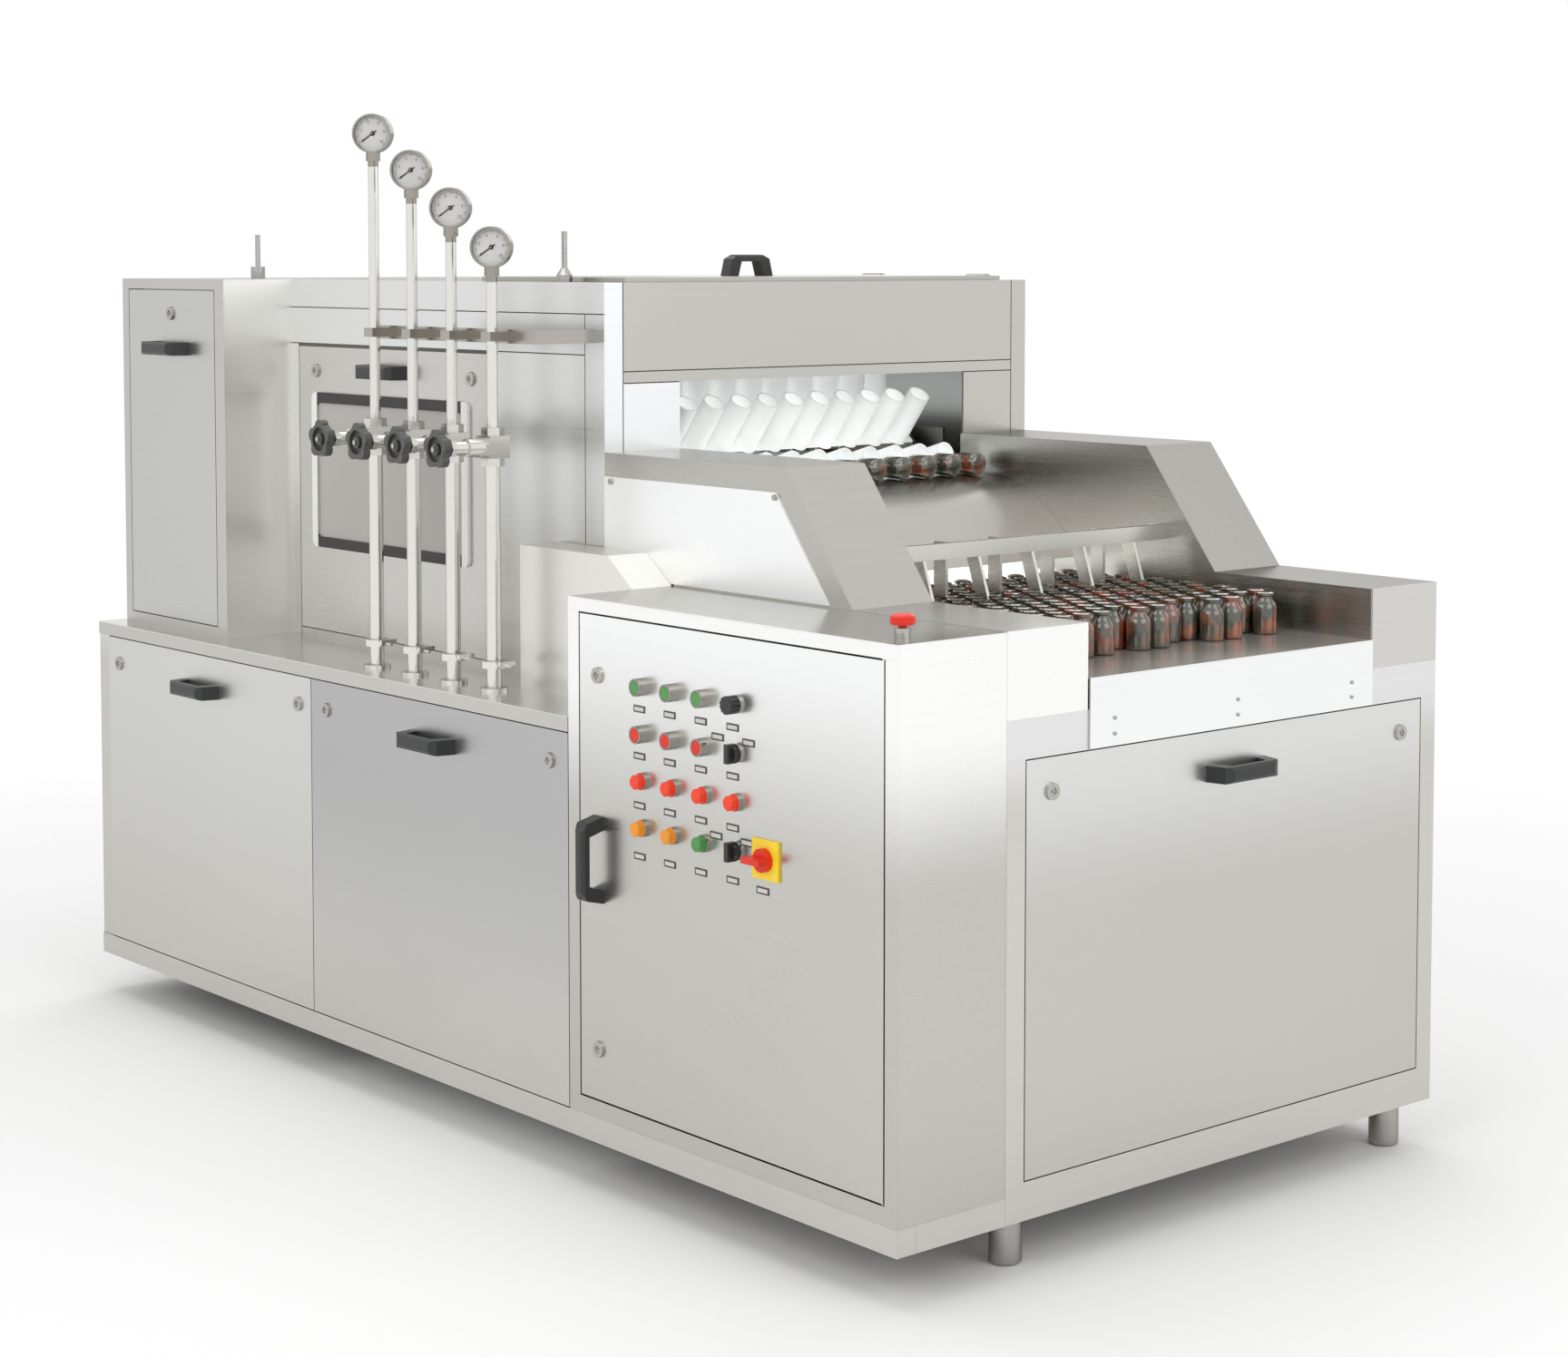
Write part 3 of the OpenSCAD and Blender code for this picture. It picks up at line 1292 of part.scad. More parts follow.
// Inverting drum with lifting bars
drum_bar_h = 32;
drum_shell_r = drum_r - drum_bar_h;
drum_bar_t = 8;
drum_wall = 3;
drum_gap = 2;
drum_y0 = trough_y0 + bearing_t + drum_gap;
drum_y1 = trough_y1 - bearing_t - drum_gap;
module inverting_drum() {
    color([0.75, 0.76, 0.77]) translate([drum_x, 0, drum_z]) {
        difference() {
            union() {
                rod_y(drum_shell_r, drum_y0, drum_y1, 0, 0);
                for (i = [0:drum_bars - 1]) {
                    rotate([0, i * 360 / drum_bars, 0]) box(drum_shell_r - drum_wall, drum_r,
                        drum_y0, drum_y1, -drum_bar_t / 2, drum_bar_t / 2);
                }
            }
            rod_y(drum_shell_r - drum_wall, drum_y0 + drum_wall, drum_y1 - drum_wall, 0, 0);
        }
        for (y = [[trough_y0 + seat, drum_y0 + drum_wall], [drum_y1 - drum_wall, trough_y1 - seat]]) {
            rod_y(drum_shaft_r, y[0], y[1], 0, 0);
        }
    }
}

// One row of carrier tubes on its bar, standing on the XY plane with the bar's ends at the chains
module carrier_row() {
    color([0.93, 0.93, 0.92]) difference() {
        union() {
            translate([-row_bar_w / 2, chain_y0 + chain_w, 0])
                cube([row_bar_w, chain_y1 - chain_y0 - chain_w, bar_thick]);
            for (i = [0:lane_count - 1]) {
                translate([0, lane_y(i), 0]) cylinder(r = tube_d / 2, h = bar_thick + tube_length);
            }
        }
        for (i = [0:lane_count - 1]) {
            translate([0, lane_y(i), -over]) cylinder(r = tube_bore / 2, h = bar_thick + tube_length + 2 * over);
        }
    }
}
row_bar_w = 30;
// A place on the loop: [x, z, turn] of the pitch line, s millimetres past the head wheel's top
function on_loop(s) = s < 0 ? [head_x + s, chain_z + pitch_r, 0]
    : s < half_arc ? [head_x + pitch_r * sin(s / pitch_r * 180 / PI),
        chain_z + pitch_r * cos(s / pitch_r * 180 / PI), s / pitch_r * 180 / PI]
    : s < half_arc + chain_length ? [head_x - (s - half_arc), chain_z - pitch_r, 180]
    : let (t = (s - half_arc - chain_length) / pitch_r * 180 / PI)
        [tail_x - pitch_r * sin(t), chain_z - pitch_r * cos(t), 180 + t];
module carrier_tubes() {
    for (i = [0:row_count - 1]) {
        s = first_row_at + (i - round(chain_length / row_pitch)) * row_pitch;
        p = on_loop(s);
        translate([p[0], 0, p[1]]) rotate([0, p[2], 0]) translate([0, 0, chain_half]) carrier_row();
    }
}
module carrier_chains() {
    color([0.45, 0.45, 0.46]) for (y = [chain_y0, chain_y1]) {
        loop_band(pitch_r - chain_half, pitch_r + chain_half, tail_x, head_x, y, y + chain_w, chain_z);
    }
    color([0.6, 0.61, 0.62]) {
        for (y = [[plate_y0 + plate_t, chain_y0 + chain_w], [chain_y1, plate_y1]], s = [-1, 1]) {
            z = chain_z + s * (pitch_r - chain_half - joint - rail_drop / 2);
            box(tail_x + sprocket_r, head_x - sprocket_r, y[0], y[1], z - rail_drop / 2, z + rail_drop / 2);
        }
    }
}
// Sprockets and their shafts
sprocket_r = pitch_r - chain_half - seat;
sprocket_teeth = 24;
tooth_gap_r = 4;
sprocket_t = 8;
shaft_out = 10;
module wheel_shaft(x, drive) {
    y_end = plate_y1 + plate_t + hub_t + (drive ? 4 * shaft_out : shaft_out);
    color([0.6, 0.61, 0.62]) {
        rod_y(shaft_r, plate_y0 - hub_t - shaft_out, y_end, x, chain_z);
        for (y = [chain_y0 + chain_w / 2 - sprocket_t / 2, chain_y1 + chain_w / 2 - sprocket_t / 2]) {
            difference() {
                rod_y(sprocket_r, y, y + sprocket_t, x, chain_z);
                for (a = [0:360 / sprocket_teeth:359]) {
                    translate([x, 0, chain_z]) rotate([0, a, 0])
                        rod_y(tooth_gap_r, y - over, y + sprocket_t + over, sprocket_r, 0);
                }
            }
        }
        if (drive) {
            rod_y(sprocket_r / 2, y_end - shaft_out, y_end, x, chain_z);
        }
    }
}

// Spray pipes between the runs, one nozzle for each lane
spray_count = 8;
spray_r = 9;
spray_drop = 60;
spray_z = chain_z + pitch_r - spray_drop;
nozzle_r = 4;
nozzle_h = 16;
nozzle_tip_r = 1.5;
module spray_nozzles() {
    spray_step = (chain_length - 2 * pitch_r) / (spray_count - 1);
    color([0.7, 0.71, 0.73]) for (i = [0:spray_count - 1]) {
        x = tail_x + pitch_r + i * spray_step;
        rod_y(spray_r, plate_y0 + plate_t, plate_y1, x, spray_z);
        for (k = [0:lane_count - 1]) {
            translate([x, lane_y(k), spray_z + spray_r - sheet]) {
                cylinder(r = nozzle_r, h = nozzle_h / 2);
                translate([0, 0, nozzle_h / 2]) cylinder(r1 = nozzle_r, r2 = nozzle_tip_r, h = nozzle_h / 2);
            }
        }
    }
}

// Water supply: header under the deck, stubs to the risers, rear inlets
header_r = 16;
pump_x = -180;
pump_y = 100;
pump_axis_z = 210;
module supply_manifold() {
    pipe_y0 = riser_y + header_r + joint;
    color([0.7, 0.71, 0.73]) {
        rod_x(header_r, water_x - 2 * header_r, riser_x(3) + 2 * header_r, riser_y, inlet_z);
        for (i = [0:3]) {
            rod_z(riser_r, inlet_z + header_r + joint, deck_z, riser_x(i), riser_y);
        }
        for (x = [water_x, air_x]) {
            rod_y(riser_r, pipe_y0, y_b + panel_gap + over, x, inlet_z);
            rod_y(stub_r, y_b + panel_gap, y_b + stub_length, x, inlet_z);
        }
        rod_y(riser_r, pipe_y0, pump_y + riser_r, pump_x, inlet_z);
        rod_z(riser_r, pump_axis_z + pump_head_r + pump_neck, inlet_z - riser_r - joint, pump_x, pump_y);
    }
}

// Riser pipes with their deck flanges and clamp unions
flange_r = 24;
flange_h = 6;
union_rise = 40;
union_z = deck_z + union_rise;
union_h = 12;
union_r = 22;
valve_w = 42;
valve_h = 38;
nut_r = 20;
nut_h = 14;
valve_z = deck_z + valve_rise;
gauge_rise = 263;
gauge_z0 = roof_z + gauge_rise;
gauge_step = 67.7;
neck_h = 14;
neck_r = 13;
neck_pipe = 10;
function gauge_z(i) = gauge_z0 - i * gauge_step;
wing_length = 26;
wing_t = 5;
wing_h = 16;
wing_depth = 8;
module riser_pipes() {
    color([0.8, 0.81, 0.82]) for (i = [0:3]) {
        translate([riser_x(i), riser_y, 0]) {
            rod_z(flange_r, deck_z, deck_z + flange_h, 0, 0);
            rod_z(riser_r, deck_z + flange_h, union_z, 0, 0);
            rod_z(union_r, union_z, union_z + union_h, 0, 0);
            rod_z(riser_r, union_z + union_h, valve_z - valve_h / 2 - nut_h, 0, 0);
            rod_z(upper_r, valve_z + valve_h / 2 + nut_h, gauge_z(i) - gauge_r - neck_h - neck_pipe, 0, 0);
        }
    }
    // Clamp bolts and wing nuts
    color([0.7, 0.71, 0.73]) for (i = [0:3]) {
        translate([riser_x(i), riser_y, union_z + union_h / 2]) {
            rod_x(wing_t / 2, union_r, union_r + wing_length, 0, 0);
            box(union_r + wing_length / 2, union_r + wing_length / 2 + wing_t, -wing_h, wing_h,
                0, wing_depth);
        }
    }
}

// Valve bodies: block, union nuts, bonnet with the stem's bore
bonnet_1 = 34;
bonnet_2 = 25;
bonnet_nut = 10;
bonnet_r = 16;
bonnet_neck_r = 12;
bonnet_nut_r = 15.2;
spindle_r = 5;
bonnet_end = valve_w / 2 + bonnet_1 + bonnet_2 + bonnet_nut;
spindle_in = 40;
wheel_gap = 14;
module valve_bodies() {
    for (i = [0:3]) {
        translate([riser_x(i), riser_y, valve_z]) color([0.74, 0.75, 0.77]) {
            difference() {
                union() {
                    box(-valve_w / 2, valve_w / 2, -valve_w / 2, valve_w / 2, -valve_h / 2, valve_h / 2);
                    hex_z(nut_r, valve_h / 2, valve_h / 2 + nut_h, 0, 0);
                    hex_z(nut_r, -valve_h / 2 - nut_h, -valve_h / 2, 0, 0);
                    rod_y(bonnet_r, -valve_w / 2 - bonnet_1, -valve_w / 2, 0, 0);
                    rod_y(bonnet_neck_r, -bonnet_end + bonnet_nut, -valve_w / 2 - bonnet_1, 0, 0);
                    hex_y(bonnet_nut_r, -bonnet_end, -bonnet_end + bonnet_nut, 0, 0);
                }
                rod_y(spindle_r + run_fit, -bonnet_end - over, -bonnet_end + spindle_in, 0, 0);
            }
        }
    }
}
// Five-lobed handwheel with a dished face and a bright bolt
wheel_t = 14;
lobes = 5;
lobe_share = 0.36;
lobe_r = wheel_r * lobe_share;
web_share = 0.8;
dish_share = 0.62;
dish_r = wheel_r * dish_share;
bolt_r = 5;
bolt_h = 4;
module handwheel(i) {
    translate([riser_x(i), riser_y - bonnet_end - wheel_gap - wheel_t, valve_z]) {
        color([0.06, 0.06, 0.06]) {
            rotate([-90, 0, 0]) difference() {
                linear_extrude(wheel_t) union() {
                    circle(wheel_r * web_share);
                    for (a = [0:360 / lobes:359]) {
                        rotate(a - 90) translate([wheel_r - lobe_r, 0]) circle(lobe_r);
                    }
                }
                translate([0, 0, -over]) cylinder(r = dish_r, h = wheel_t / 2 + over);
            }
            rod_y(spindle_r * 2, 0, wheel_t / 2, 0, 0);
        }
        color([0.75, 0.76, 0.78]) {
            rod_y(spindle_r, wheel_t, wheel_t + wheel_gap + spindle_in - 2 * over, 0, 0);
            hex_y(bolt_r, -bolt_h, 0, 0, 0);
        }
    }
}

// Support rail for the risers, its bracket to the housing and a clip at each pipe
rail_rise = 604;
rail_back = 22;
rail_z = deck_z + rail_rise;
rail_h = 24;
rail_t = 8;
rail_y0 = riser_y + rail_back;
rail_over = 24;
bracket_inset = 34;
bracket_x = hood_x - bracket_inset;
clip_w = 28;
module pipe_supports() {
    color([0.75, 0.76, 0.77]) {
        box(riser_x(0) - rail_over, bracket_x + rail_t, rail_y0, rail_y0 + rail_t, rail_z - rail_h / 2,
            rail_z + rail_h / 2);
        box(bracket_x, bracket_x + rail_t, rail_y0 + rail_t, house_y, rail_z - rail_h / 2, rail_z + rail_h / 2);
        for (i = [0:3]) {
            difference() {
                box(riser_x(i) - clip_w / 2, riser_x(i) + clip_w / 2, riser_y - upper_r - rail_t / 2, rail_y0,
                    rail_z - rail_h / 3, rail_z + rail_h / 3);
                rod_z(upper_r + run_fit, rail_z - rail_h, rail_z + rail_h, riser_x(i), riser_y);
            }
        }
    }
}

// Gauges, turned to the infeed end by gauge_turn
gauge_turn = 45;
gauge_depth = 28;
gauge_rim = 3;
gauge_pocket = 12;
dial_t = 1;
pin_r = 1.5;
pin_out = 7;
module at_gauge(i) {
    translate([riser_x(i), riser_y, gauge_z(i)]) rotate([0, 0, gauge_turn]) children();
}
module gauge_cases() {
    half = gauge_depth / 2;
    for (i = [0:3]) {
        at_gauge(i) {
            color([0.75, 0.76, 0.78]) difference() {
                union() {
                    rod_y(gauge_r, -half, half, 0, 0);
                    hex_z(neck_r, -gauge_r - neck_h, -gauge_r + gauge_rim, 0, 0);
                    rod_z(upper_r, -gauge_r - neck_h - neck_pipe, -gauge_r - neck_h, 0, 0);
                }
                rod_y(gauge_r - gauge_rim, -half - over, -half + gauge_pocket, 0, 0);
            }
            color([0.97, 0.97, 0.97]) union() {
                rod_y(gauge_r - gauge_rim - joint, -half + gauge_pocket - dial_t,
                    -half + gauge_pocket - joint, 0, 0);
                rod_y(pin_r, -half + gauge_pocket - pin_out, -half + gauge_pocket - dial_t, 0, 0);
            }
        }
    }
}
lens_t = 2;
module gauge_lenses() {
    color([0.8, 0.85, 0.85, 0.35]) for (i = [0:3]) {
        at_gauge(i)
            rod_y(gauge_r - gauge_rim - joint, -gauge_depth / 2 + dial_t, -gauge_depth / 2 + dial_t + lens_t, 0, 0);
    }
}
needle_length = 24;
needle_w = 2;
needle_t = 1.2;
needle_hub_r = 4;
needle_rest = 234;
module gauge_pointer(i) {
    y0 = -gauge_depth / 2 + gauge_pocket - dial_t - needle_t - seat;
    at_gauge(i) color([0.05, 0.05, 0.05]) rotate([0, needle_rest, 0]) difference() {
        union() {
            rod_y(needle_hub_r, y0, y0 + needle_t, 0, 0);
            box(-needle_w / 2, needle_w / 2, y0, y0 + needle_t, -needle_hub_r * 2, needle_length);
        }
        rod_y(pin_r + run_fit, y0 - over, y0 + needle_t + over, 0, 0);
    }
}

// Water tank under the wash housing
tank_inset = 200;
tank_x0 = x_l + tank_inset;
tank_length = 640;
tank_x1 = tank_x0 + tank_length;
tank_front = 57;
tank_behind = 160;
tank_y0 = mid_y1 + tank_front;
tank_y1 = y_b - tank_behind;
tank_h = 400;
tank_wall = 3;
module water_tank() {
    tank_z = ring_z + sheet;
    color([0.75, 0.76, 0.77]) {
        difference() {
            box(tank_x0, tank_x1, tank_y0, tank_y1, tank_z, tank_z + tank_h);
            box(tank_x0 + tank_wall, tank_x1 - tank_wall, tank_y0 + tank_wall, tank_y1 - tank_wall,
                tank_z + tank_wall, tank_z + tank_h + over);
        }
        rod_y(riser_r, tank_y1 - over, y_b + panel_gap + over, drain_x, drain_z);
        rod_y(stub_r, y_b + panel_gap, y_b + stub_length, drain_x, drain_z);
    }
}

// Wash pump beside the tank: motor, head and feet
pump_head_r = 75;
pump_head_w = 60;
pump_motor_r = 62;
pump_motor_l = 190;
pump_neck = 20;
pump_foot = 20;
pump_fins = 16;
fin_t = 4;
fin_h = 6;
suction_r = 19;
outlet_r = 15.2;
module wash_pump() {
    floor_z = ring_z + sheet;
    motor_x = pump_x + pump_head_w / 2;
    color([0.7, 0.71, 0.73]) {
        rod_x(pump_head_r, pump_x - pump_head_w / 2, motor_x, pump_y, pump_axis_z);
        rod_x(suction_r, tank_x1, pump_x - pump_head_w / 2, pump_y, pump_axis_z);
        rod_z(outlet_r, pump_axis_z + pump_head_r - sheet, pump_axis_z + pump_head_r + pump_neck,
            pump_x, pump_y);
    }
    color([0.25, 0.35, 0.5]) {
        rod_x(pump_motor_r, motor_x, motor_x + pump_motor_l, pump_y, pump_axis_z);
        for (i = [0:pump_fins - 1]) {
            translate([0, pump_y, pump_axis_z]) rotate([i * 360 / pump_fins, 0, 0])
                box(motor_x + fin_h, motor_x + pump_motor_l - fin_h, -fin_t / 2, fin_t / 2,
                    pump_motor_r - over, pump_motor_r + fin_h);
        }
        for (x = [motor_x + pump_foot, motor_x + pump_motor_l - 2 * pump_foot]) {
            box(x, x + pump_foot, pump_y - pump_motor_r, pump_y + pump_motor_r, floor_z,
                pump_axis_z - pump_motor_r / 2);
        }
    }
}

// Gear motor of the carrier drive, on its stand
motor_x0 = 620;
motor_r = 70;
motor_l = 220;
motor_mid_y = 150;
motor_z = 260;
gearbox = 150;
stand_w = 120;
module drive_motor() {
    color([0.25, 0.35, 0.5]) {
        box(motor_x0 - gearbox, motor_x0, motor_mid_y - gearbox / 2, motor_mid_y + gearbox / 2,
            ring_z + sheet + frame_tube, motor_z + gearbox / 2);
        rod_x(motor_r, motor_x0, motor_x0 + motor_l, motor_mid_y, motor_z);
        rod_x(motor_r + fin_h, motor_x0 + motor_l - gearbox / 3, motor_x0 + motor_l, motor_mid_y, motor_z);
    }
    color([0.6, 0.61, 0.62]) {
        box(motor_x0 - gearbox, motor_x0, motor_mid_y - stand_w / 2, motor_mid_y + stand_w / 2,
            ring_z + sheet, ring_z + sheet + frame_tube);
        rod_y(shaft_r, motor_mid_y + gearbox / 2, motor_mid_y + gearbox / 2 + 4 * shaft_out,
            motor_x0 - gearbox / 2, motor_z);
        rod_y(sprocket_r / 2, motor_mid_y + gearbox / 2 + 3 * shaft_out,
            motor_mid_y + gearbox / 2 + 4 * shaft_out, motor_x0 - gearbox / 2, motor_z);
    }
}

// Electrical plate inside the control cabinet
ep_inset = 55;
ep_under = 90;
ep_over = 70;
ep_z0 = ring_z + ep_under;
ep_z1 = cab_z - ep_over;
ep_gap = 22;
standoff_r = 6;
trunk_w = 40;
trunk_d = 50;
device_d = 70;
device_rows = 3;
device_columns = 9;
device_w = 45;
device_h = 80;
device_gap = 20;
module electrical_plate() {
    x0 = cab_x + ep_inset;
    x1 = x_r - ep_inset;
    y1 = cab_y1 - sheet - ep_gap;
    step_z = (ep_z1 - ep_z0 - trunk_w) / device_rows;
    step_x = (x1 - x0 - 2 * device_gap) / device_columns;
    color([0.85, 0.85, 0.83]) {
        box(x0, x1, y1 - sheet, y1, ep_z0, ep_z1);
        for (x = [x0 + device_gap, x1 - device_gap], z = [ep_z0 + device_gap, ep_z1 - device_gap]) {
            rod_y(standoff_r, y1, cab_y1 - sheet, x, z);
        }
    }
    color([0.5, 0.52, 0.54]) for (r = [0:device_rows]) {
        box(x0 + device_gap, x1 - device_gap, y1 - sheet - trunk_d, y1 - sheet - joint,
            ep_z0 + r * step_z, ep_z0 + r * step_z + trunk_w);
    }
    color([0.15, 0.16, 0.18]) for (r = [0:device_rows - 1], c = [0:device_columns - 1]) {
        x = x0 + device_gap + c * step_x;
        z = ep_z0 + r * step_z + trunk_w + device_gap;
        box(x, x + device_w, y1 - sheet - device_d, y1 - sheet - joint, z, z + device_h);
    }
}

base_frame();
leveling_feet();
base_cladding();
control_cabinet();
control_door();
control_bezels();
pilot_lamps();
front_panel_left();
front_panel_right();
infeed_end_panel();
cable_duct();
left_cabinet();
cabinet_door();
wash_housing();
window_panel();
window_gasket();
window_glass();
hood_lid();
infeed_side_walls();
infeed_table();
infeed_belt();
belt_roller(belt_x0);  // belt_drive_roller
belt_roller(belt_x1);  // belt_idler_roller
lane_guides();
drum_guard();
inverting_drum();
carrier_tubes();
carrier_chains();
wheel_shaft(head_x, true);  // head_shaft
wheel_shaft(tail_x, false);  // tail_shaft
spray_nozzles();
supply_manifold();
riser_pipes();
valve_bodies();
handwheel(0);  // handwheel_1
handwheel(1);  // handwheel_2
handwheel(2);  // handwheel_3
handwheel(3);  // handwheel_4
pipe_supports();
gauge_cases();
gauge_lenses();
gauge_pointer(0);  // gauge_pointer_1
gauge_pointer(1);  // gauge_pointer_2
gauge_pointer(2);  // gauge_pointer_3
gauge_pointer(3);  // gauge_pointer_4
push_button(0, [0.1, 0.55, 0.2]);  // start_button_1
push_button(1, [0.1, 0.55, 0.2]);  // start_button_2
push_button(2, [0.1, 0.55, 0.2]);  // start_button_3
push_button(3, [0.75, 0.06, 0.05]);  // stop_button_1
push_button(4, [0.75, 0.06, 0.05]);  // stop_button_2
push_button(5, [0.75, 0.06, 0.05]);  // stop_button_3
speed_knob();
selector_knob(1);  // selector_knob_1
selector_knob(2);  // selector_knob_2
main_switch_knob();
emergency_stop();
water_tank();
wash_pump();
drive_motor();
electrical_plate();
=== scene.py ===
import math
import random

import bpy
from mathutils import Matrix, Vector


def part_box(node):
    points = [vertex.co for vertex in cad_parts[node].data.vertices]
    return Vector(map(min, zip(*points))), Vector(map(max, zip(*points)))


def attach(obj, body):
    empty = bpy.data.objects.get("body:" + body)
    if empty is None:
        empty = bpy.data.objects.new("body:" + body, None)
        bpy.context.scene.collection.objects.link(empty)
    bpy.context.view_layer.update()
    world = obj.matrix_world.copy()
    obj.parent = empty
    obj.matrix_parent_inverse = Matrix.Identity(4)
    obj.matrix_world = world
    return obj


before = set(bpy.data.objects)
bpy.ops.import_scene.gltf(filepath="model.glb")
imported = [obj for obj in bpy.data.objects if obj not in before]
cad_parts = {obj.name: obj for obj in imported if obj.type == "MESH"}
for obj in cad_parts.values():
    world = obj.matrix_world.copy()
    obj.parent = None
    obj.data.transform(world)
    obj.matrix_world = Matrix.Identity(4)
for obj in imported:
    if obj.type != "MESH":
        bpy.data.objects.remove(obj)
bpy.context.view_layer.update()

# Studio: a pale floor, a white surround and four large soft lamps, with the camera at the near corner.
# The floor fades to plain white a few metres out, so that it has no edge.
camera_place = (4.16515, -3.33384, 1.49743)
camera_turn = (math.radians(86.5), 0, math.radians(49.7))
lens_length = 66.48
lens_shift = -0.15563
view_end = 200.0
lamp_aim = (0.0, 0.0, 0.8)
plain_white = (1.0, 1.0, 1.0, 1.0)
screen_white = 255.0
ambient_strength = 0.62
floor_half = 40.0
floor_colour = (0.93, 0.93, 0.93, 1.0)
fade_start = 1.8
fade_end = 3.6


def paint(red, green, blue):
    """A colour as it is seen, 0 to 255, made linear for a material by the standard screen curve."""
    def linear(value):
        share = value / screen_white
        return share / 12.92 if share <= 0.04045 else ((share + 0.055) / 1.055) ** 2.4
    return (linear(red), linear(green), linear(blue), 1.0)


def empty_material(name):
    material = bpy.data.materials.new(name)
    material.use_nodes = True
    material.node_tree.nodes.clear()
    return material, material.node_tree.nodes, material.node_tree.links


bpy.ops.object.select_all(action="DESELECT")
eye = bpy.data.cameras.new("camera")
eye.sensor_width = 36.0
eye.lens = lens_length
eye.shift_y = lens_shift
eye.clip_end = view_end
viewer = bpy.data.objects.new("camera", eye)
viewer.location = camera_place
viewer.rotation_euler = camera_turn
bpy.context.scene.collection.objects.link(viewer)
bpy.context.scene.camera = viewer
bpy.context.scene.view_settings.view_transform = "Standard"

world = bpy.data.worlds.new("studio")
bpy.context.scene.world = world
world.use_nodes = True
sky = world.node_tree
sky.nodes.clear()
rays = sky.nodes.new("ShaderNodeLightPath")
seen_or_mirrored = sky.nodes.new("ShaderNodeMath")
seen_or_mirrored.operation = "MAXIMUM"
seen_at_all = sky.nodes.new("ShaderNodeMath")
seen_at_all.operation = "MAXIMUM"
ambient = sky.nodes.new("ShaderNodeBackground")
ambient.inputs["Color"].default_value = plain_white
ambient.inputs["Strength"].default_value = ambient_strength
white = sky.nodes.new("ShaderNodeBackground")
white.inputs["Color"].default_value = plain_white
white.inputs["Strength"].default_value = 1.0
blend = sky.nodes.new("ShaderNodeMixShader")
out = sky.nodes.new("ShaderNodeOutputWorld")
sky.links.new(rays.outputs["Is Camera Ray"], seen_or_mirrored.inputs[0])
sky.links.new(rays.outputs["Is Glossy Ray"], seen_or_mirrored.inputs[1])
sky.links.new(seen_or_mirrored.outputs[0], seen_at_all.inputs[0])
sky.links.new(rays.outputs["Is Transmission Ray"], seen_at_all.inputs[1])
sky.links.new(seen_at_all.outputs[0], blend.inputs[0])
sky.links.new(ambient.outputs[0], blend.inputs[1])
sky.links.new(white.outputs[0], blend.inputs[2])
sky.links.new(blend.outputs[0], out.inputs[0])

for name, place, width, height, power in (
    ("lamp_front", (1.5, -5.0, 3.6), 4.0, 3.0, 70.0),
    ("lamp_right", (5.5, 0.5, 3.2), 4.0, 3.0, 60.0),
    ("lamp_top", (-0.5, 0.0, 5.0), 5.0, 4.0, 90.0),
    ("lamp_back", (-3.0, 4.5, 3.5), 4.0, 3.0, 40.0),
):
    lamp = bpy.data.lights.new(name, "AREA")
    lamp.shape = "RECTANGLE"
    lamp.size = width
    lamp.size_y = height
    lamp.energy = power
    stand = bpy.data.objects.new(name, lamp)
    stand.location = place
    aim = Vector(lamp_aim) - Vector(place)
    stand.rotation_euler = aim.to_track_quat("-Z", "Y").to_euler()
    bpy.context.scene.collection.objects.link(stand)

bpy.ops.mesh.primitive_plane_add(size=2 * floor_half, location=(0, 0, 0))
floor = bpy.context.object
floor.name = "floor"
material, nodes, links = empty_material("pale_floor")
place = nodes.new("ShaderNodeTexCoord")
reach = nodes.new("ShaderNodeVectorMath")
reach.operation = "LENGTH"
fade = nodes.new("ShaderNodeMapRange")
fade.inputs["From Min"].default_value = fade_start
fade.inputs["From Max"].default_value = fade_end
near_floor = nodes.new("ShaderNodeBsdfDiffuse")
near_floor.inputs["Color"].default_value = floor_colour
plain = nodes.new("ShaderNodeEmission")
plain.inputs["Strength"].default_value = 1.0
mixer = nodes.new("ShaderNodeMixShader")
target = nodes.new("ShaderNodeOutputMaterial")
links.new(place.outputs["Object"], reach.inputs[0])
links.new(reach.outputs["Value"], fade.inputs["Value"])
links.new(fade.outputs["Result"], mixer.inputs[0])
links.new(near_floor.outputs[0], mixer.inputs[1])
links.new(plain.outputs[0], mixer.inputs[2])
links.new(mixer.outputs[0], target.inputs["Surface"])
floor.data.materials.append(material)
bpy.ops.object.select_all(action="DESELECT")

# Base frame: square stainless tube, welded and ground, with a matt horizontal grain.
# The grain group is what every brushed sheet of the machine uses, each with its own strength.
# Its tone can change over height: painted light and shade, as the room lights the sheets.
cloud_scale = 2.3
speck_scale = 420.0
speck_share = 0.05
dull_share = 0.10
scratch_depth = 0.0004


def new_group(name, inputs, outputs):
    """A shader node group with named sockets, given as (name, kind, value)."""
    group = bpy.data.node_groups.new(name, "ShaderNodeTree")
    for label, kind, value in inputs:
        socket = group.interface.new_socket(name=label, in_out="INPUT", socket_type=kind)
        socket.default_value = value
    for label, kind in outputs:
        group.interface.new_socket(name=label, in_out="OUTPUT", socket_type=kind)
    return group, group.nodes.new("NodeGroupInput"), group.nodes.new("NodeGroupOutput")


def noise(tree, scale, detail, vector):
    node = tree.nodes.new("ShaderNodeTexNoise")
    node.inputs["Scale"].default_value = scale
    node.inputs["Detail"].default_value = detail
    tree.links.new(vector, node.inputs["Vector"])
    return node.outputs["Fac"]


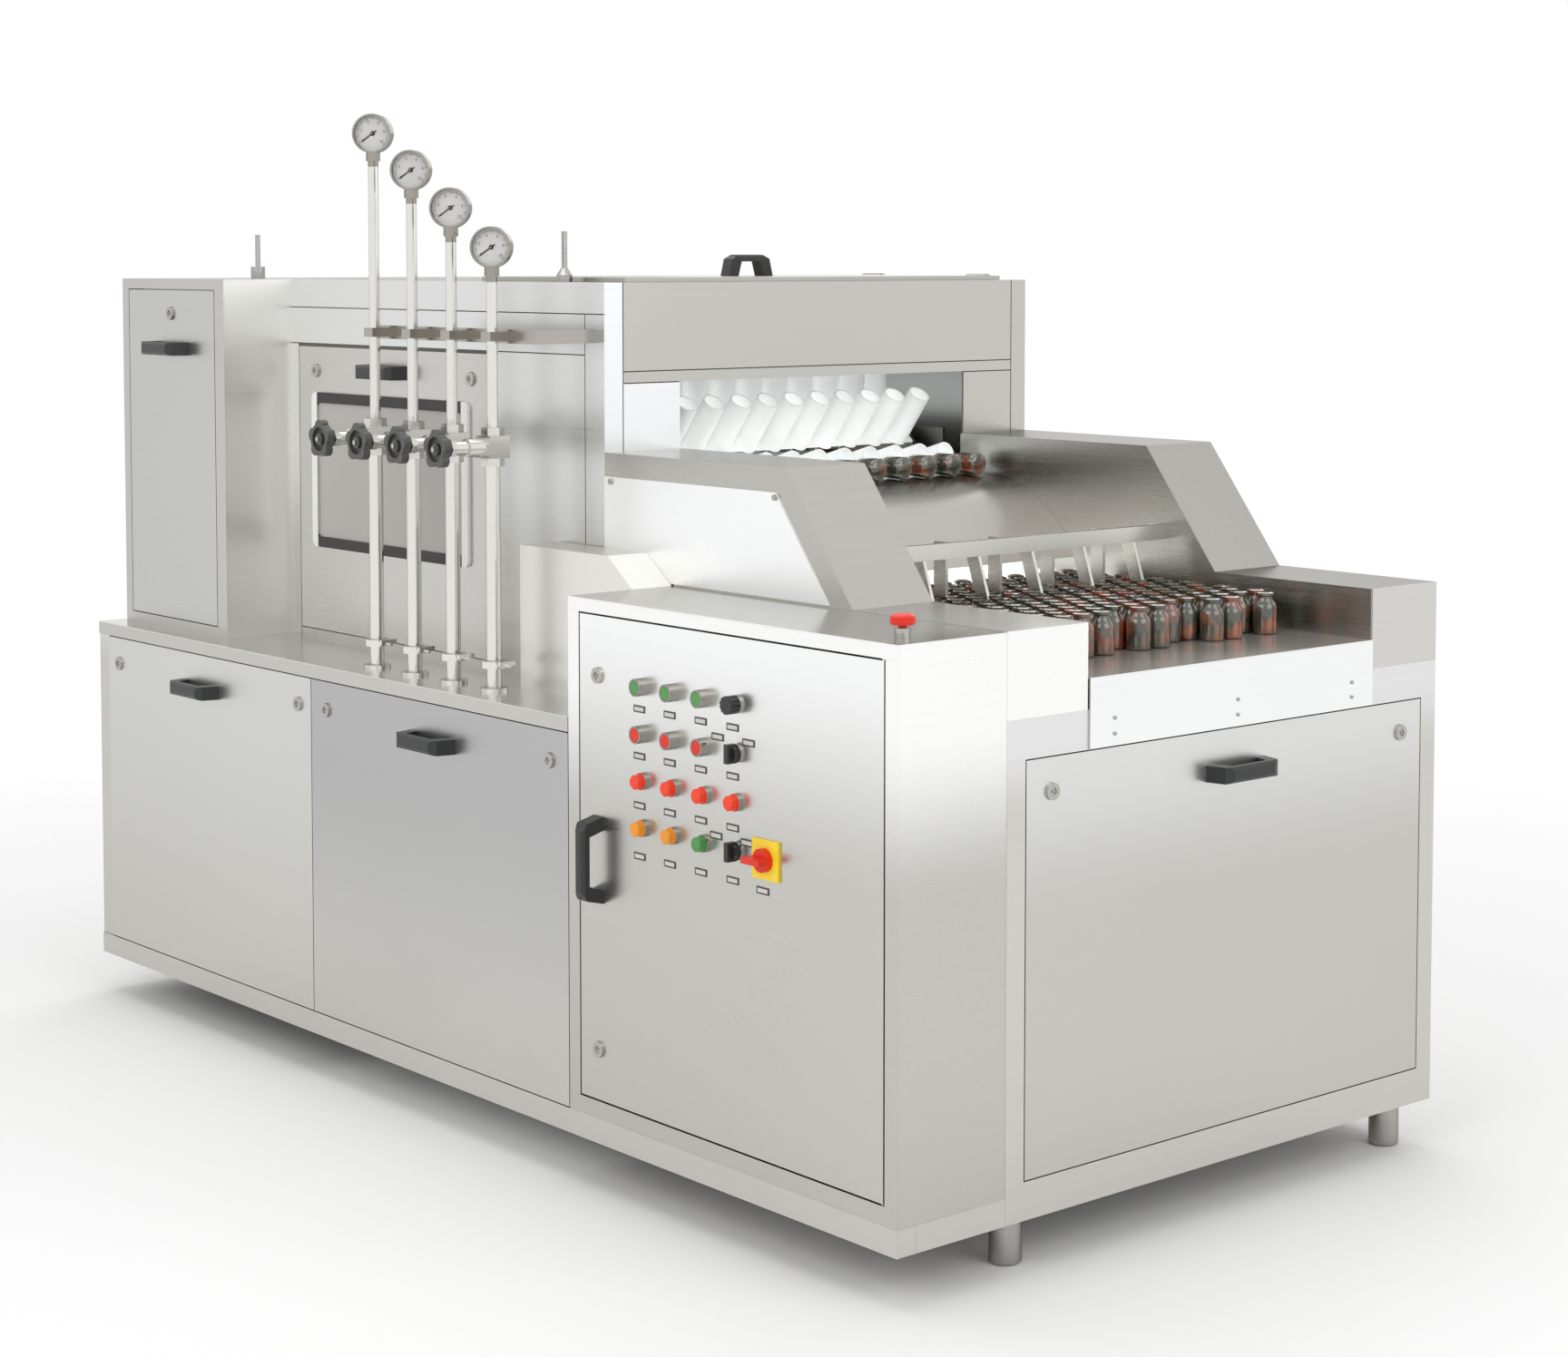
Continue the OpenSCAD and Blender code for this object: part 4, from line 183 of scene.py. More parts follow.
def sum_of(tree, base, *terms):
    """base plus (value - 0.5) times strength for each term, as a chain of maths nodes."""
    total = base
    for value, strength in terms:
        centred = tree.nodes.new("ShaderNodeMath")
        centred.operation = "SUBTRACT"
        centred.inputs[1].default_value = 0.5
        tree.links.new(value, centred.inputs[0])
        scaled = tree.nodes.new("ShaderNodeMath")
        scaled.operation = "MULTIPLY_ADD"
        tree.links.new(centred.outputs[0], scaled.inputs[0])
        if isinstance(strength, float):
            scaled.inputs[1].default_value = strength
        else:
            tree.links.new(strength, scaled.inputs[1])
        if isinstance(total, float):
            scaled.inputs[2].default_value = total
        else:
            tree.links.new(total, scaled.inputs[2])
        total = scaled.outputs[0]
    return total


def tinted(tree, colour, tone):
    """A colour socket times a tone socket."""
    tint = tree.nodes.new("ShaderNodeMix")
    tint.data_type = "RGBA"
    tint.blend_type = "MULTIPLY"
    tint.inputs["Factor"].default_value = 1.0
    tree.links.new(colour, tint.inputs[6])
    tree.links.new(tone, tint.inputs[7])
    return tint.outputs[2]


def raised(tree, strength, height, depth):
    """A normal from a height socket."""
    bump = tree.nodes.new("ShaderNodeBump")
    bump.inputs["Distance"].default_value = depth
    tree.links.new(strength, bump.inputs["Strength"])
    tree.links.new(height, bump.inputs["Height"])
    return bump.outputs[0]


sheet_grain, given, made = new_group(
    "sheet_grain",
    (("Colour", "NodeSocketColor", (0.6, 0.6, 0.6, 1.0)),
     ("Painted top shading", "NodeSocketColor", (0.6, 0.6, 0.6, 1.0)),
     ("Low", "NodeSocketFloat", 0.0), ("High", "NodeSocketFloat", 1.0),
     ("Roughness", "NodeSocketFloat", 0.3),
     ("Streaks", "NodeSocketFloat", 0.1), ("Clouds", "NodeSocketFloat", 0.1),
     ("Direction", "NodeSocketVector", (3.0, 3.0, 260.0)), ("Relief", "NodeSocketFloat", 0.1)),
    (("Colour", "NodeSocketColor"), ("Roughness", "NodeSocketFloat"), ("Normal", "NodeSocketVector")),
)
where = sheet_grain.nodes.new("ShaderNodeTexCoord")
along = sheet_grain.nodes.new("ShaderNodeVectorMath")
along.operation = "MULTIPLY"
sheet_grain.links.new(where.outputs["Object"], along.inputs[0])
sheet_grain.links.new(given.outputs["Direction"], along.inputs[1])
streak = noise(sheet_grain, 1.0, 4.0, along.outputs[0])
cloud = noise(sheet_grain, cloud_scale, 3.0, where.outputs["Object"])
speck = noise(sheet_grain, speck_scale, 2.0, where.outputs["Object"])
tone = sum_of(sheet_grain, 1.0, (streak, given.outputs["Streaks"]), (cloud, given.outputs["Clouds"]),
              (speck, speck_share))
height = sheet_grain.nodes.new("ShaderNodeSeparateXYZ")
sheet_grain.links.new(where.outputs["Object"], height.inputs[0])
# The colour moves to the painted top shading between the heights Low and High.
climb = sheet_grain.nodes.new("ShaderNodeMapRange")
climb.interpolation_type = "SMOOTHSTEP"
sheet_grain.links.new(height.outputs["Z"], climb.inputs["Value"])
sheet_grain.links.new(given.outputs["Low"], climb.inputs["From Min"])
sheet_grain.links.new(given.outputs["High"], climb.inputs["From Max"])
shade = sheet_grain.nodes.new("ShaderNodeMix")
shade.data_type = "RGBA"
sheet_grain.links.new(climb.outputs["Result"], shade.inputs[0])
sheet_grain.links.new(given.outputs["Colour"], shade.inputs[6])
sheet_grain.links.new(given.outputs["Painted top shading"], shade.inputs[7])
sheet_grain.links.new(tinted(sheet_grain, shade.outputs[2], tone), made.inputs["Colour"])
dull = sum_of(sheet_grain, given.outputs["Roughness"], (streak, dull_share), (cloud, dull_share))
sheet_grain.links.new(dull, made.inputs["Roughness"])
scratches = raised(sheet_grain, given.outputs["Relief"], streak, scratch_depth)
sheet_grain.links.new(scratches, made.inputs["Normal"])


def steel(name, colour, roughness, streaks=0.03, clouds=0.05, direction=(3.0, 3.0, 260.0), relief=0.03,
          high=None, span=(0.0, 1.0), edge=0.6, metallic=1.0):
    """A stainless finish: its colour, the painted top shading that high gives over the span of heights, how
    dull, and how far its grain shows.
    """
    material, nodes, links = empty_material(name)
    grain = nodes.new("ShaderNodeGroup")
    grain.node_tree = sheet_grain
    grain.inputs["Colour"].default_value = colour
    grain.inputs["Painted top shading"].default_value = high or colour
    grain.inputs["Low"].default_value = span[0]
    grain.inputs["High"].default_value = span[1]
    grain.inputs["Roughness"].default_value = roughness
    grain.inputs["Streaks"].default_value = streaks
    grain.inputs["Clouds"].default_value = clouds
    grain.inputs["Direction"].default_value = direction
    grain.inputs["Relief"].default_value = relief
    metal = nodes.new("ShaderNodeBsdfPrincipled")
    metal.inputs["Metallic"].default_value = metallic
    metal.inputs["Specular Tint"].default_value = (edge, edge, edge, 1.0)
    end = nodes.new("ShaderNodeOutputMaterial")
    links.new(grain.outputs["Colour"], metal.inputs["Base Color"])
    links.new(grain.outputs["Roughness"], metal.inputs["Roughness"])
    links.new(grain.outputs["Normal"], metal.inputs["Normal"])
    links.new(metal.outputs[0], end.inputs["Surface"])
    return material


def finish(node, base, *parts):
    """Gives a CAD node its material, and other materials to the faces whose centre meets a rule."""
    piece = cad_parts[node]
    piece.data.materials.clear()
    piece.data.materials.append(base)
    for other, _ in parts:
        piece.data.materials.append(other)
    for face in piece.data.polygons:
        face.material_index = 0
        for number, (_, rule) in enumerate(parts, 1):
            if rule(face.center):
                face.material_index = number


# The tube's upper part is lighter: a painted highlight.
ground_tube = steel("ground_tube", paint(208, 206, 200), 0.36, streaks=0.06,
                    high=paint(228, 228, 229), span=(0.68, 0.79))
finish("base_frame", ground_tube)

# Levelling feet: six round stainless sleeves under the frame, with a shallow groove near the top.
# They are turned, so they are glossier than the welded tube and have a clearer grain.
turned_steel = steel("turned_steel", paint(176, 174, 170), 0.22, streaks=0.25)
finish("leveling_feet", turned_steel)

# Base cladding: 2 mm sheet round the frame, with a folded lip at the deck's front edge.
# The deck is smoother than the walls.
sheet = 0.002
clear = 0.0005
deck_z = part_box("base_cladding")[1][2]
wall_sheet = steel("wall_sheet", paint(202, 201, 196), 0.30)
deck_sheet = steel("deck_sheet", paint(214, 213, 208), 0.20, edge=0.95)
finish("base_cladding", wall_sheet, (deck_sheet, lambda p: p.z > deck_z - sheet - clear))

# Front and end panels: lift-off trays with a black bow handle and plated quarter-turn locks.
# The handles are moulded in one piece with a fine grain.
fine_scale = 900.0
broad_scale = 14.0
grain_depth = 0.0003
coat_dullness = 0.08
moulded_grain, given, made = new_group(
    "moulded_grain",
    (("Colour", "NodeSocketColor", (0.02, 0.02, 0.02, 1.0)), ("Roughness", "NodeSocketFloat", 0.4),
     ("Grain", "NodeSocketFloat", 0.1)),
    (("Colour", "NodeSocketColor"), ("Roughness", "NodeSocketFloat"), ("Normal", "NodeSocketVector")),
)
where = moulded_grain.nodes.new("ShaderNodeTexCoord")
fine = noise(moulded_grain, fine_scale, 2.0, where.outputs["Object"])
broad = noise(moulded_grain, broad_scale, 3.0, where.outputs["Object"])
tone = sum_of(moulded_grain, 1.0, (broad, 0.25), (fine, 0.10))
moulded_grain.links.new(tinted(moulded_grain, given.outputs["Colour"], tone), made.inputs["Colour"])
dull = sum_of(moulded_grain, given.outputs["Roughness"], (broad, 0.15), (fine, 0.10))
moulded_grain.links.new(dull, made.inputs["Roughness"])
pits = raised(moulded_grain, given.outputs["Grain"], fine, grain_depth)
moulded_grain.links.new(pits, made.inputs["Normal"])


def moulded(name, colour, roughness, grain=0.1, coat=0.0, specular=0.5, painted_glow=0.0):
    """A moulded or painted finish with a fine grain; painted_glow adds painted light, an emission in the
    finish's own colour.
    """
    material, nodes, links = empty_material(name)
    surface = nodes.new("ShaderNodeGroup")
    surface.node_tree = moulded_grain
    surface.inputs["Colour"].default_value = colour
    surface.inputs["Roughness"].default_value = roughness
    surface.inputs["Grain"].default_value = grain
    body = nodes.new("ShaderNodeBsdfPrincipled")
    body.inputs["Coat Weight"].default_value = coat
    body.inputs["Coat Roughness"].default_value = coat_dullness
    body.inputs["Specular IOR Level"].default_value = specular
    body.inputs["Emission Strength"].default_value = painted_glow
    end = nodes.new("ShaderNodeOutputMaterial")
    links.new(surface.outputs["Colour"], body.inputs["Base Color"])
    links.new(surface.outputs["Colour"], body.inputs["Emission Color"])
    links.new(surface.outputs["Roughness"], body.inputs["Roughness"])
    links.new(surface.outputs["Normal"], body.inputs["Normal"])
    links.new(body.outputs[0], end.inputs["Surface"])
    return material


hair = 0.00005
front_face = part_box("control_cabinet")[0][1]
end_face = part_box("control_cabinet")[1][0]
handle_half = 0.074
handle_side = 0.016
panel_handle_z = 0.668
handle_black = moulded("handle_black", paint(36, 37, 38), 0.34, grain=0.12)
lock_chrome = steel("lock_chrome", paint(184, 182, 177), 0.12, clouds=0.04, relief=0.02)


def near(value, middle, reach):
    return abs(value - middle) < reach


def fittings(front, across, up, axis=1, outward=-1, upright=False):
    """The locks and the handle of a panel whose face is at front; the handle's middle is (across, up)."""
    wide, high = (handle_side, handle_half) if upright else (handle_half, handle_side)

    def lock(p):
        return outward * (p[axis] - front) > hair

    def handle(p):
        proud = outward * (p[axis] - front) > -hair
        return proud and near(p[1 - axis], across, wide) and near(p.z, up, high)

    return (lock_chrome, lock), (handle_black, handle)


# Each panel's upper part has painted shading: a painted highlight on the left and end panels, and painted
# shade on the right panel.
left_sheet = steel("left_sheet", paint(208, 207, 202), 0.31, high=paint(215, 215, 212), span=(0.15, 0.74))
right_sheet = steel("right_sheet", paint(206, 205, 200), 0.31, high=paint(187, 187, 187), span=(0.15, 0.60))
end_sheet = steel("end_sheet", paint(200, 199, 194), 0.31, high=paint(222, 222, 221), span=(0.52, 0.76))
finish("front_panel_left", left_sheet, *fittings(front_face, -0.78335, panel_handle_z))
finish("front_panel_right", right_sheet, *fittings(front_face, 0.02, panel_handle_z))
finish("infeed_end_panel", end_sheet, *fittings(end_face, 0.1075, 0.699, axis=0, outward=1))

# Control cabinet: a folded sheet box with a jamb for its door and two pins for the hinges.
# Its walls carry a painted highlight at the top, and its top is a smoother sheet that carries the emergency
# stop.
cabinet_top_z = 0.956
cabinet_top_reach = 0.0002
cabinet_sheet = steel("cabinet_sheet", paint(196, 195, 190), 0.28,
                      high=paint(250, 250, 249), span=(0.58, 0.84))
cabinet_top = steel("cabinet_top", paint(200, 198, 192), 0.16, edge=0.9)
finish(
    "control_cabinet", cabinet_sheet,
    (lock_chrome, lambda p: p.z > cabinet_top_z + clear),
    (cabinet_top, lambda p: near(p.z, cabinet_top_z, cabinet_top_reach)),
)

# Control door: the door skin with its upright handle, two locks and the hinge blocks.
# The skin carries a painted highlight along its top edge.
door_sheet = steel("door_sheet", paint(200, 199, 194), 0.29, high=paint(248, 249, 249), span=(0.58, 0.95))
finish("control_door", door_sheet, *fittings(front_face, 0.497, 0.541, upright=True))

# Push-button and selector bezels: chrome rings on black barrels, with contact blocks behind the door.
# The isolator sits on a square yellow plate.
isolator_x = 0.914
isolator_z = 0.607
isolator_hole = 0.0125
isolator_plate = 0.034
device_black = moulded("device_black", paint(40, 41, 43), 0.42)
plate_yellow = moulded("plate_yellow", paint(246, 214, 40), 0.38, grain=0.05)
bezel_chrome = steel("bezel_chrome", paint(158, 155, 148), 0.14)


def on_door(p):
    return p.y < front_face + hair


def on_isolator_plate(p):
    away = max(abs(p.x - isolator_x), abs(p.z - isolator_z))
    return on_door(p) and isolator_hole < away < isolator_plate


finish("control_bezels", device_black, (bezel_chrome, on_door), (plate_yellow, on_isolator_plate))

# Buttons, knobs and lamps: moulded caps, and coloured lenses over a chrome ring.
# The upper row of lamps is red, and the lower row is amber on the left and green on the right.
column_x = (0.615, 0.6915, 0.768, 0.8445)
row_z = (0.831, 0.757, 0.683, 0.609)
lens_depth = 0.0069
between_rows = (row_z[2] + row_z[3]) / 2
between_columns = (column_x[1] + column_x[2]) / 2
cap_green = moulded("cap_green", paint(84, 150, 80), 0.34, coat=0.1, specular=0.3)
cap_red = moulded("cap_red", paint(224, 48, 28), 0.34, coat=0.1, specular=0.3)
knob_black = moulded("knob_black", paint(34, 34, 35), 0.36)
lens_red = moulded("lens_red", paint(244, 66, 34), 0.26, grain=0.03, coat=0.1, specular=0.3)
lens_amber = moulded("lens_amber", paint(236, 150, 36), 0.26, grain=0.03, coat=0.1, specular=0.3)
lens_green = moulded("lens_green", paint(80, 146, 78), 0.26, grain=0.03, coat=0.1, specular=0.3)


def on_lens(p):
    return p.y < front_face - lens_depth


for number in (1, 2, 3):
    finish(f"start_button_{number}", cap_green)
    finish(f"stop_button_{number}", cap_red)
for node in ("speed_knob", "selector_knob_1", "selector_knob_2"):
    finish(node, knob_black)
for node in ("main_switch_knob", "emergency_stop"):
    finish(node, cap_red)
finish(
    "pilot_lamps", device_black,
    (bezel_chrome, on_door),
    (lens_red, lambda p: on_lens(p) and p.z > between_rows),
    (lens_amber, lambda p: on_lens(p) and p.z < between_rows and p.x < between_columns),
    (lens_green, lambda p: on_lens(p) and p.z < between_rows and p.x > between_columns),
)

# Label plates: small blank plates on the door, dark with a pale field.
# One sits below each place of the grid, and five more beside the last column and below the isolator.
label_size = (0.028, 0.001, 0.011)
label_border = 0.0024
label_bevel = 0.0003
label_sink = 0.0002
label_shift = 0.010
label_drops = (0.036, 0.036, 0.040, 0.046)
label_places = [(x - label_shift, z - drop) for z, drop in zip(row_z, label_drops) for x in column_x]
label_places += [(0.799, 0.776), (0.872, 0.776), (0.795, 0.625), (0.868, 0.625), (0.905, 0.559)]
label_dark = moulded("label_dark", paint(70, 66, 62), 0.45, grain=0.04)
label_pale = moulded("label_pale", paint(206, 204, 198), 0.45, grain=0.04)


def finished(piece, body):
    """Puts a new piece's place into its mesh and lets it ride on a body."""
    bpy.ops.object.select_all(action="DESELECT")
    piece.select_set(True)
    bpy.context.view_layer.objects.active = piece
    bpy.ops.object.transform_apply(location=True, rotation=True, scale=True)
    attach(piece, body)
    bpy.ops.object.select_all(action="DESELECT")


def joined(pieces, name):
    """Joins copies of one shape into one object."""
    bpy.ops.object.select_all(action="DESELECT")
    for piece in pieces:
        piece.select_set(True)
    bpy.context.view_layer.objects.active = pieces[0]
    bpy.ops.object.join()
    pieces[0].name = name
    return pieces[0]


def copied(model, place, turn=(0.0, 0.0, 0.0)):
    """A copy of a model with a mesh of its own."""
    twin = model.copy()
    twin.data = model.data.copy()
    twin.location = place
    twin.rotation_euler = turn
    bpy.context.scene.collection.objects.link(twin)
    return twin


bpy.ops.mesh.primitive_cube_add(size=1.0, location=(0, 0, 0), scale=label_size)
label = bpy.context.object
bpy.ops.object.transform_apply(location=False, rotation=False, scale=True)
label.data.materials.append(label_dark)
label.data.materials.append(label_pale)
bpy.ops.object.mode_set(mode="EDIT")
bpy.ops.mesh.select_all(action="DESELECT")
bpy.ops.object.mode_set(mode="OBJECT")
for face in label.data.polygons:
    face.select = face.normal.y < -0.9
bpy.ops.object.mode_set(mode="EDIT")
bpy.ops.mesh.inset(thickness=label_border, depth=0.0)
label.active_material_index = 1
bpy.ops.object.material_slot_assign()
bpy.ops.mesh.inset(thickness=label_bevel, depth=-label_sink)
bpy.ops.object.mode_set(mode="OBJECT")
labels = [copied(label, (x, front_face - label_size[1] / 2, z)) for x, z in label_places]
bpy.data.objects.remove(label)
finished(joined(labels, "control_labels"), "door")

# Electrical plate: a painted mounting plate with wiring trunking and rows of devices.
# A strip of grey trunking runs below each row of black devices.
device_back_y = -0.4236
trunk_start = 0.21
device_pitch = 0.192
trunk_height = 0.045
plate_paint = moulded("plate_paint", paint(214, 214, 208), 0.5)
trunk_grey = moulded("trunk_grey", paint(150, 154, 158), 0.5)
finish(
    "electrical_plate", plate_paint,
    (trunk_grey, lambda p: p.y < device_back_y),
    (device_black, lambda p: p.y < device_back_y and (p.z - trunk_start) % device_pitch > trunk_height),
)

# Cable duct: a sheet trough on the deck, from the housing to the control cabinet.
# It is lighter and duller than the deck.
finish("cable_duct", steel("duct_sheet", paint(228, 227, 222), 0.31, edge=0.95))

# Far cabinet and its door: a tall box open to the wash housing, with the outfeed chute.
# Its side towards the infeed end carries a painted highlight, and the stud on its roof is turned.
roof_z = 1.455
side_strip = 0.01
tower_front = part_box("left_cabinet")[0][1]
tower_side_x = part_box("left_cabinet")[1][0]
tower_sheet = steel("tower_sheet", paint(200, 199, 195), 0.32)
# tower_side is a lighter copy of the tower sheet: a painted highlight.
tower_side = steel("tower_side", paint(250, 249, 245), 0.32)
tower_door = steel("tower_door_sheet", paint(202, 202, 198), 0.29)
finish(
    "left_cabinet", tower_sheet,
    (turned_steel, lambda p: p.z > roof_z + clear),
    (tower_side, lambda p: p.x > tower_side_x - side_strip),
)
finish("cabinet_door", tower_door, *fittings(tower_front, -1.0, 1.318))

# Wash housing: face plates laid on a skin so that the seams are real grooves, with a rim for the lid,
# the bearings of the two shafts, and a stud on its roof. The grooves are painted dark, as painted shade.
near_post_y = -0.25
stud_limit_y = -0.35
corner = 0.009
house_low, house_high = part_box("wash_housing")
house_front = house_low[1]
house_rear = house_high[1]
hood_front = house_high[0]
under_roof = roof_z - sheet - clear
# The housing sheet's upper part is lighter: a painted highlight.
house_sheet = steel("house_sheet", paint(196, 195, 190), 0.25, high=paint(224, 225, 224), span=(0.92, 1.15))
mouth_sheet = steel("mouth_sheet", paint(196, 195, 190), 0.25)
# The strip of the hood front by the near post is a painted highlight.
post_highlight_sheet = steel("post_highlight_sheet", paint(244, 246, 247), 0.25)
seam_shade = moulded("seam_shade", paint(96, 92, 86), 0.6)
roof_sheet = steel("roof_sheet", paint(186, 184, 179), 0.30)
# The inside walls are duller, and darker as painted shade.
inner_shade_sheet = steel("inner_shade_sheet", paint(132, 130, 125), 0.40)


def inside_house(p):
    return (house_front + sheet + clear < p.y < house_rear - sheet - hair
            and p.z < under_roof and p.x < hood_front - sheet - clear)


def on_hood_front(p):
    return p.x > hood_front - sheet - clear and p.z < under_roof


def in_front_seam(p):
    return house_front + hair < p.y < house_front + sheet + hair and p.x < hood_front - corner


def in_hood_seam(p):
    return hood_front - sheet - hair < p.x < hood_front - hair and p.z < under_roof


finish(
    "wash_housing", house_sheet,
    (inner_shade_sheet, inside_house),
    (roof_sheet, lambda p: p.z > roof_z - clear),
    (turned_steel, lambda p: p.z > roof_z + clear and p.y < stud_limit_y),
    (mouth_sheet, on_hood_front),
    (post_highlight_sheet, lambda p: on_hood_front(p) and p.y < near_post_y),
    (seam_shade, in_front_seam),
    (seam_shade, in_hood_seam),
)

# Window: a lift-off panel with a black rubber gasket round a clouded pane.
# The gasket's upright runs carry a painted highlight and the pane is a clouded grey.
gasket_shift = 0.444
level_run_end = 0.247
upright_run_start = 0.249
window_sheet = steel("window_sheet", paint(204, 203, 199), 0.27)
finish("window_panel", window_sheet, *fittings(house_front, -0.448, 1.283))


def gasket(name, dark, upright_highlight):
    """Black rubber, with a pale painted highlight on the upright runs."""
    material, nodes, links = empty_material(name)
    where = nodes.new("ShaderNodeTexCoord")
    parts = nodes.new("ShaderNodeSeparateXYZ")
    across = nodes.new("ShaderNodeMath")
    across.operation = "ADD"
    across.inputs[1].default_value = gasket_shift
    side = nodes.new("ShaderNodeMath")
    side.operation = "ABSOLUTE"
    upright = nodes.new("ShaderNodeMapRange")
    upright.inputs["From Min"].default_value = level_run_end
    upright.inputs["From Max"].default_value = upright_run_start
    colour = nodes.new("ShaderNodeMix")
    colour.data_type = "RGBA"
    colour.inputs[6].default_value = dark
    colour.inputs[7].default_value = upright_highlight
    body = nodes.new("ShaderNodeBsdfPrincipled")
    body.inputs["Roughness"].default_value = 0.45
    end = nodes.new("ShaderNodeOutputMaterial")
    links.new(where.outputs["Object"], parts.inputs[0])
    links.new(parts.outputs["X"], across.inputs[0])
    links.new(across.outputs[0], side.inputs[0])
    links.new(side.outputs[0], upright.inputs["Value"])
    links.new(upright.outputs["Result"], colour.inputs[0])
    links.new(colour.outputs[2], body.inputs["Base Color"])
    links.new(body.outputs[0], end.inputs["Surface"])
    return material


def glass(name, colour, roughness=0.02, ior=1.46, clear_share=1.0):
    material, nodes, links = empty_material(name)
    body = nodes.new("ShaderNodeBsdfPrincipled")
    body.inputs["Base Color"].default_value = colour
    body.inputs["Transmission Weight"].default_value = clear_share
    body.inputs["IOR"].default_value = ior
    body.inputs["Roughness"].default_value = roughness
    end = nodes.new("ShaderNodeOutputMaterial")
    links.new(body.outputs[0], end.inputs["Surface"])
    return material


finish("window_gasket", gasket("gasket_rubber", paint(34, 33, 32), paint(236, 236, 234)))
finish("window_glass", glass("window_pane", paint(190, 187, 182), roughness=0.15, clear_share=0.2))

# Hood lid: a hinged roof lid with a black bow handle across its middle.
# It is of the same sheet as the roof.
lid_top = 1.463
lid_handle_side = 0.02
finish(
    "hood_lid", roof_sheet,
    (handle_black, lambda p: p.z > lid_top + hair and near(p.x, 0.0, lid_handle_side)),
)

# Trough walls: closed boxes that slope down to the infeed end, with a screwed cover at the front.
# The near wall's end cap and the upper part of the cover carry a painted highlight; the far wall's cap gets
# a weaker one, and the far wall is painted a little darker, as shade.
far_wall_y = 0.40
cap_x = 1.19
wall_box = steel("wall_box", paint(188, 186, 181), 0.27, edge=0.95)
far_box_shade = steel("far_box_shade", paint(184, 182, 177), 0.27, edge=0.45)
cover_sheet = steel("cover_sheet", paint(214, 216, 216), 0.30, high=paint(250, 251, 251), span=(0.90, 1.00))
near_cap_highlight = steel("near_cap_highlight", paint(250, 250, 248), 0.27)
far_cap = steel("far_cap", paint(212, 210, 206), 0.27)
cover_front = house_front - sheet - clear
finish(
    "infeed_side_walls", wall_box,
    (far_box_shade, lambda p: p.y > far_wall_y),
    (cover_sheet, lambda p: cover_front < p.y < house_front - hair),
    (turned_steel, lambda p: p.y < cover_front + hair),
    (near_cap_highlight, lambda p: p.x > cap_x and p.y < 0.0),
    (far_cap, lambda p: p.x > cap_x and p.y > 0.0),
)

# Infeed table: a polished dead plate whose front folds down as an apron held by six screws.
# Behind it the belt runs over two rollers, and its mesh has the plate's colour and a coarse grain.
apron_front = 1.203
table_sheet = steel("table_sheet", paint(196, 192, 184), 0.20, edge=0.9, metallic=0.7)
# The apron is much lighter than the plate: a painted highlight.
apron_highlight_sheet = steel("apron_highlight_sheet", paint(246, 247, 247), 0.24)
belt_mesh = steel("belt_mesh", paint(196, 192, 184), 0.35, streaks=0.3, direction=(250.0, 30.0, 30.0),
                  relief=0.6, metallic=0.7)
finish(
    "infeed_table", table_sheet,
    (apron_highlight_sheet, lambda p: p.x > end_face + sheet + clear),
    (turned_steel, lambda p: p.x > apron_front + hair),
)
finish("infeed_belt", belt_mesh)
finish("belt_drive_roller", turned_steel)
finish("belt_idler_roller", turned_steel)

# Vials: small brown glass bottles with a rolled lip, standing close together on the belt and the plate.
# One more lies in each lane on the shelf of the drum guard, with its mouth towards the tubes.
vial_profile = ((0.0180, 0.0), (0.0205, 0.0025), (0.0205, 0.0440), (0.0180, 0.0510), (0.0130, 0.0570),
                (0.0130, 0.0620), (0.0150, 0.0635), (0.0150, 0.0680), (0.0105, 0.0690), (0.0095, 0.0600))
vial_sides = 12
vial_pitch = 0.0435
vial_lift = 0.0002
vial_wobble = 0.0010
vial_rows = 13
vials_in_row = 14
row_share = 0.866
first_row_x = 1.034
first_vial_y = -0.198
last_vial_y = 0.418
patch_scale = 26.0
smooth_angle = math.radians(50)
front_gaps = (5, 8, 9, 12)
table_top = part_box("infeed_table")[1][2]
lane_count = 10
lane_pitch = 0.062
lane_middle_y = 0.1075
shelf_end_x = 0.335
shelf_top = 1.097
lying_lift = 0.0207


def turned(name, profile, sides):
    """A shape turned on Z by extruding a ring of edges along (radius, height) steps, closed at both ends."""
    radius, height = profile[0]
    bpy.ops.mesh.primitive_circle_add(vertices=sides, radius=radius, fill_type="NGON", location=(0, 0, 0))
    piece = bpy.context.object
    piece.name = name
    bpy.ops.object.mode_set(mode="EDIT")
    bpy.ops.mesh.select_all(action="SELECT")
    bpy.ops.transform.translate(value=(0, 0, height))
    for next_radius, next_height in profile[1:]:
        bpy.ops.mesh.extrude_region_move(
            TRANSFORM_OT_translate={"value": (0, 0, next_height - height)})
        share = next_radius / radius
        bpy.ops.transform.resize(value=(share, share, 1.0), center_override=(0, 0, next_height))
        radius, height = next_radius, next_height
    bpy.ops.mesh.select_all(action="SELECT")
    bpy.ops.mesh.normals_make_consistent(inside=False)
    bpy.ops.object.mode_set(mode="OBJECT")
    bpy.ops.object.shade_smooth_by_angle(angle=smooth_angle)
    return piece


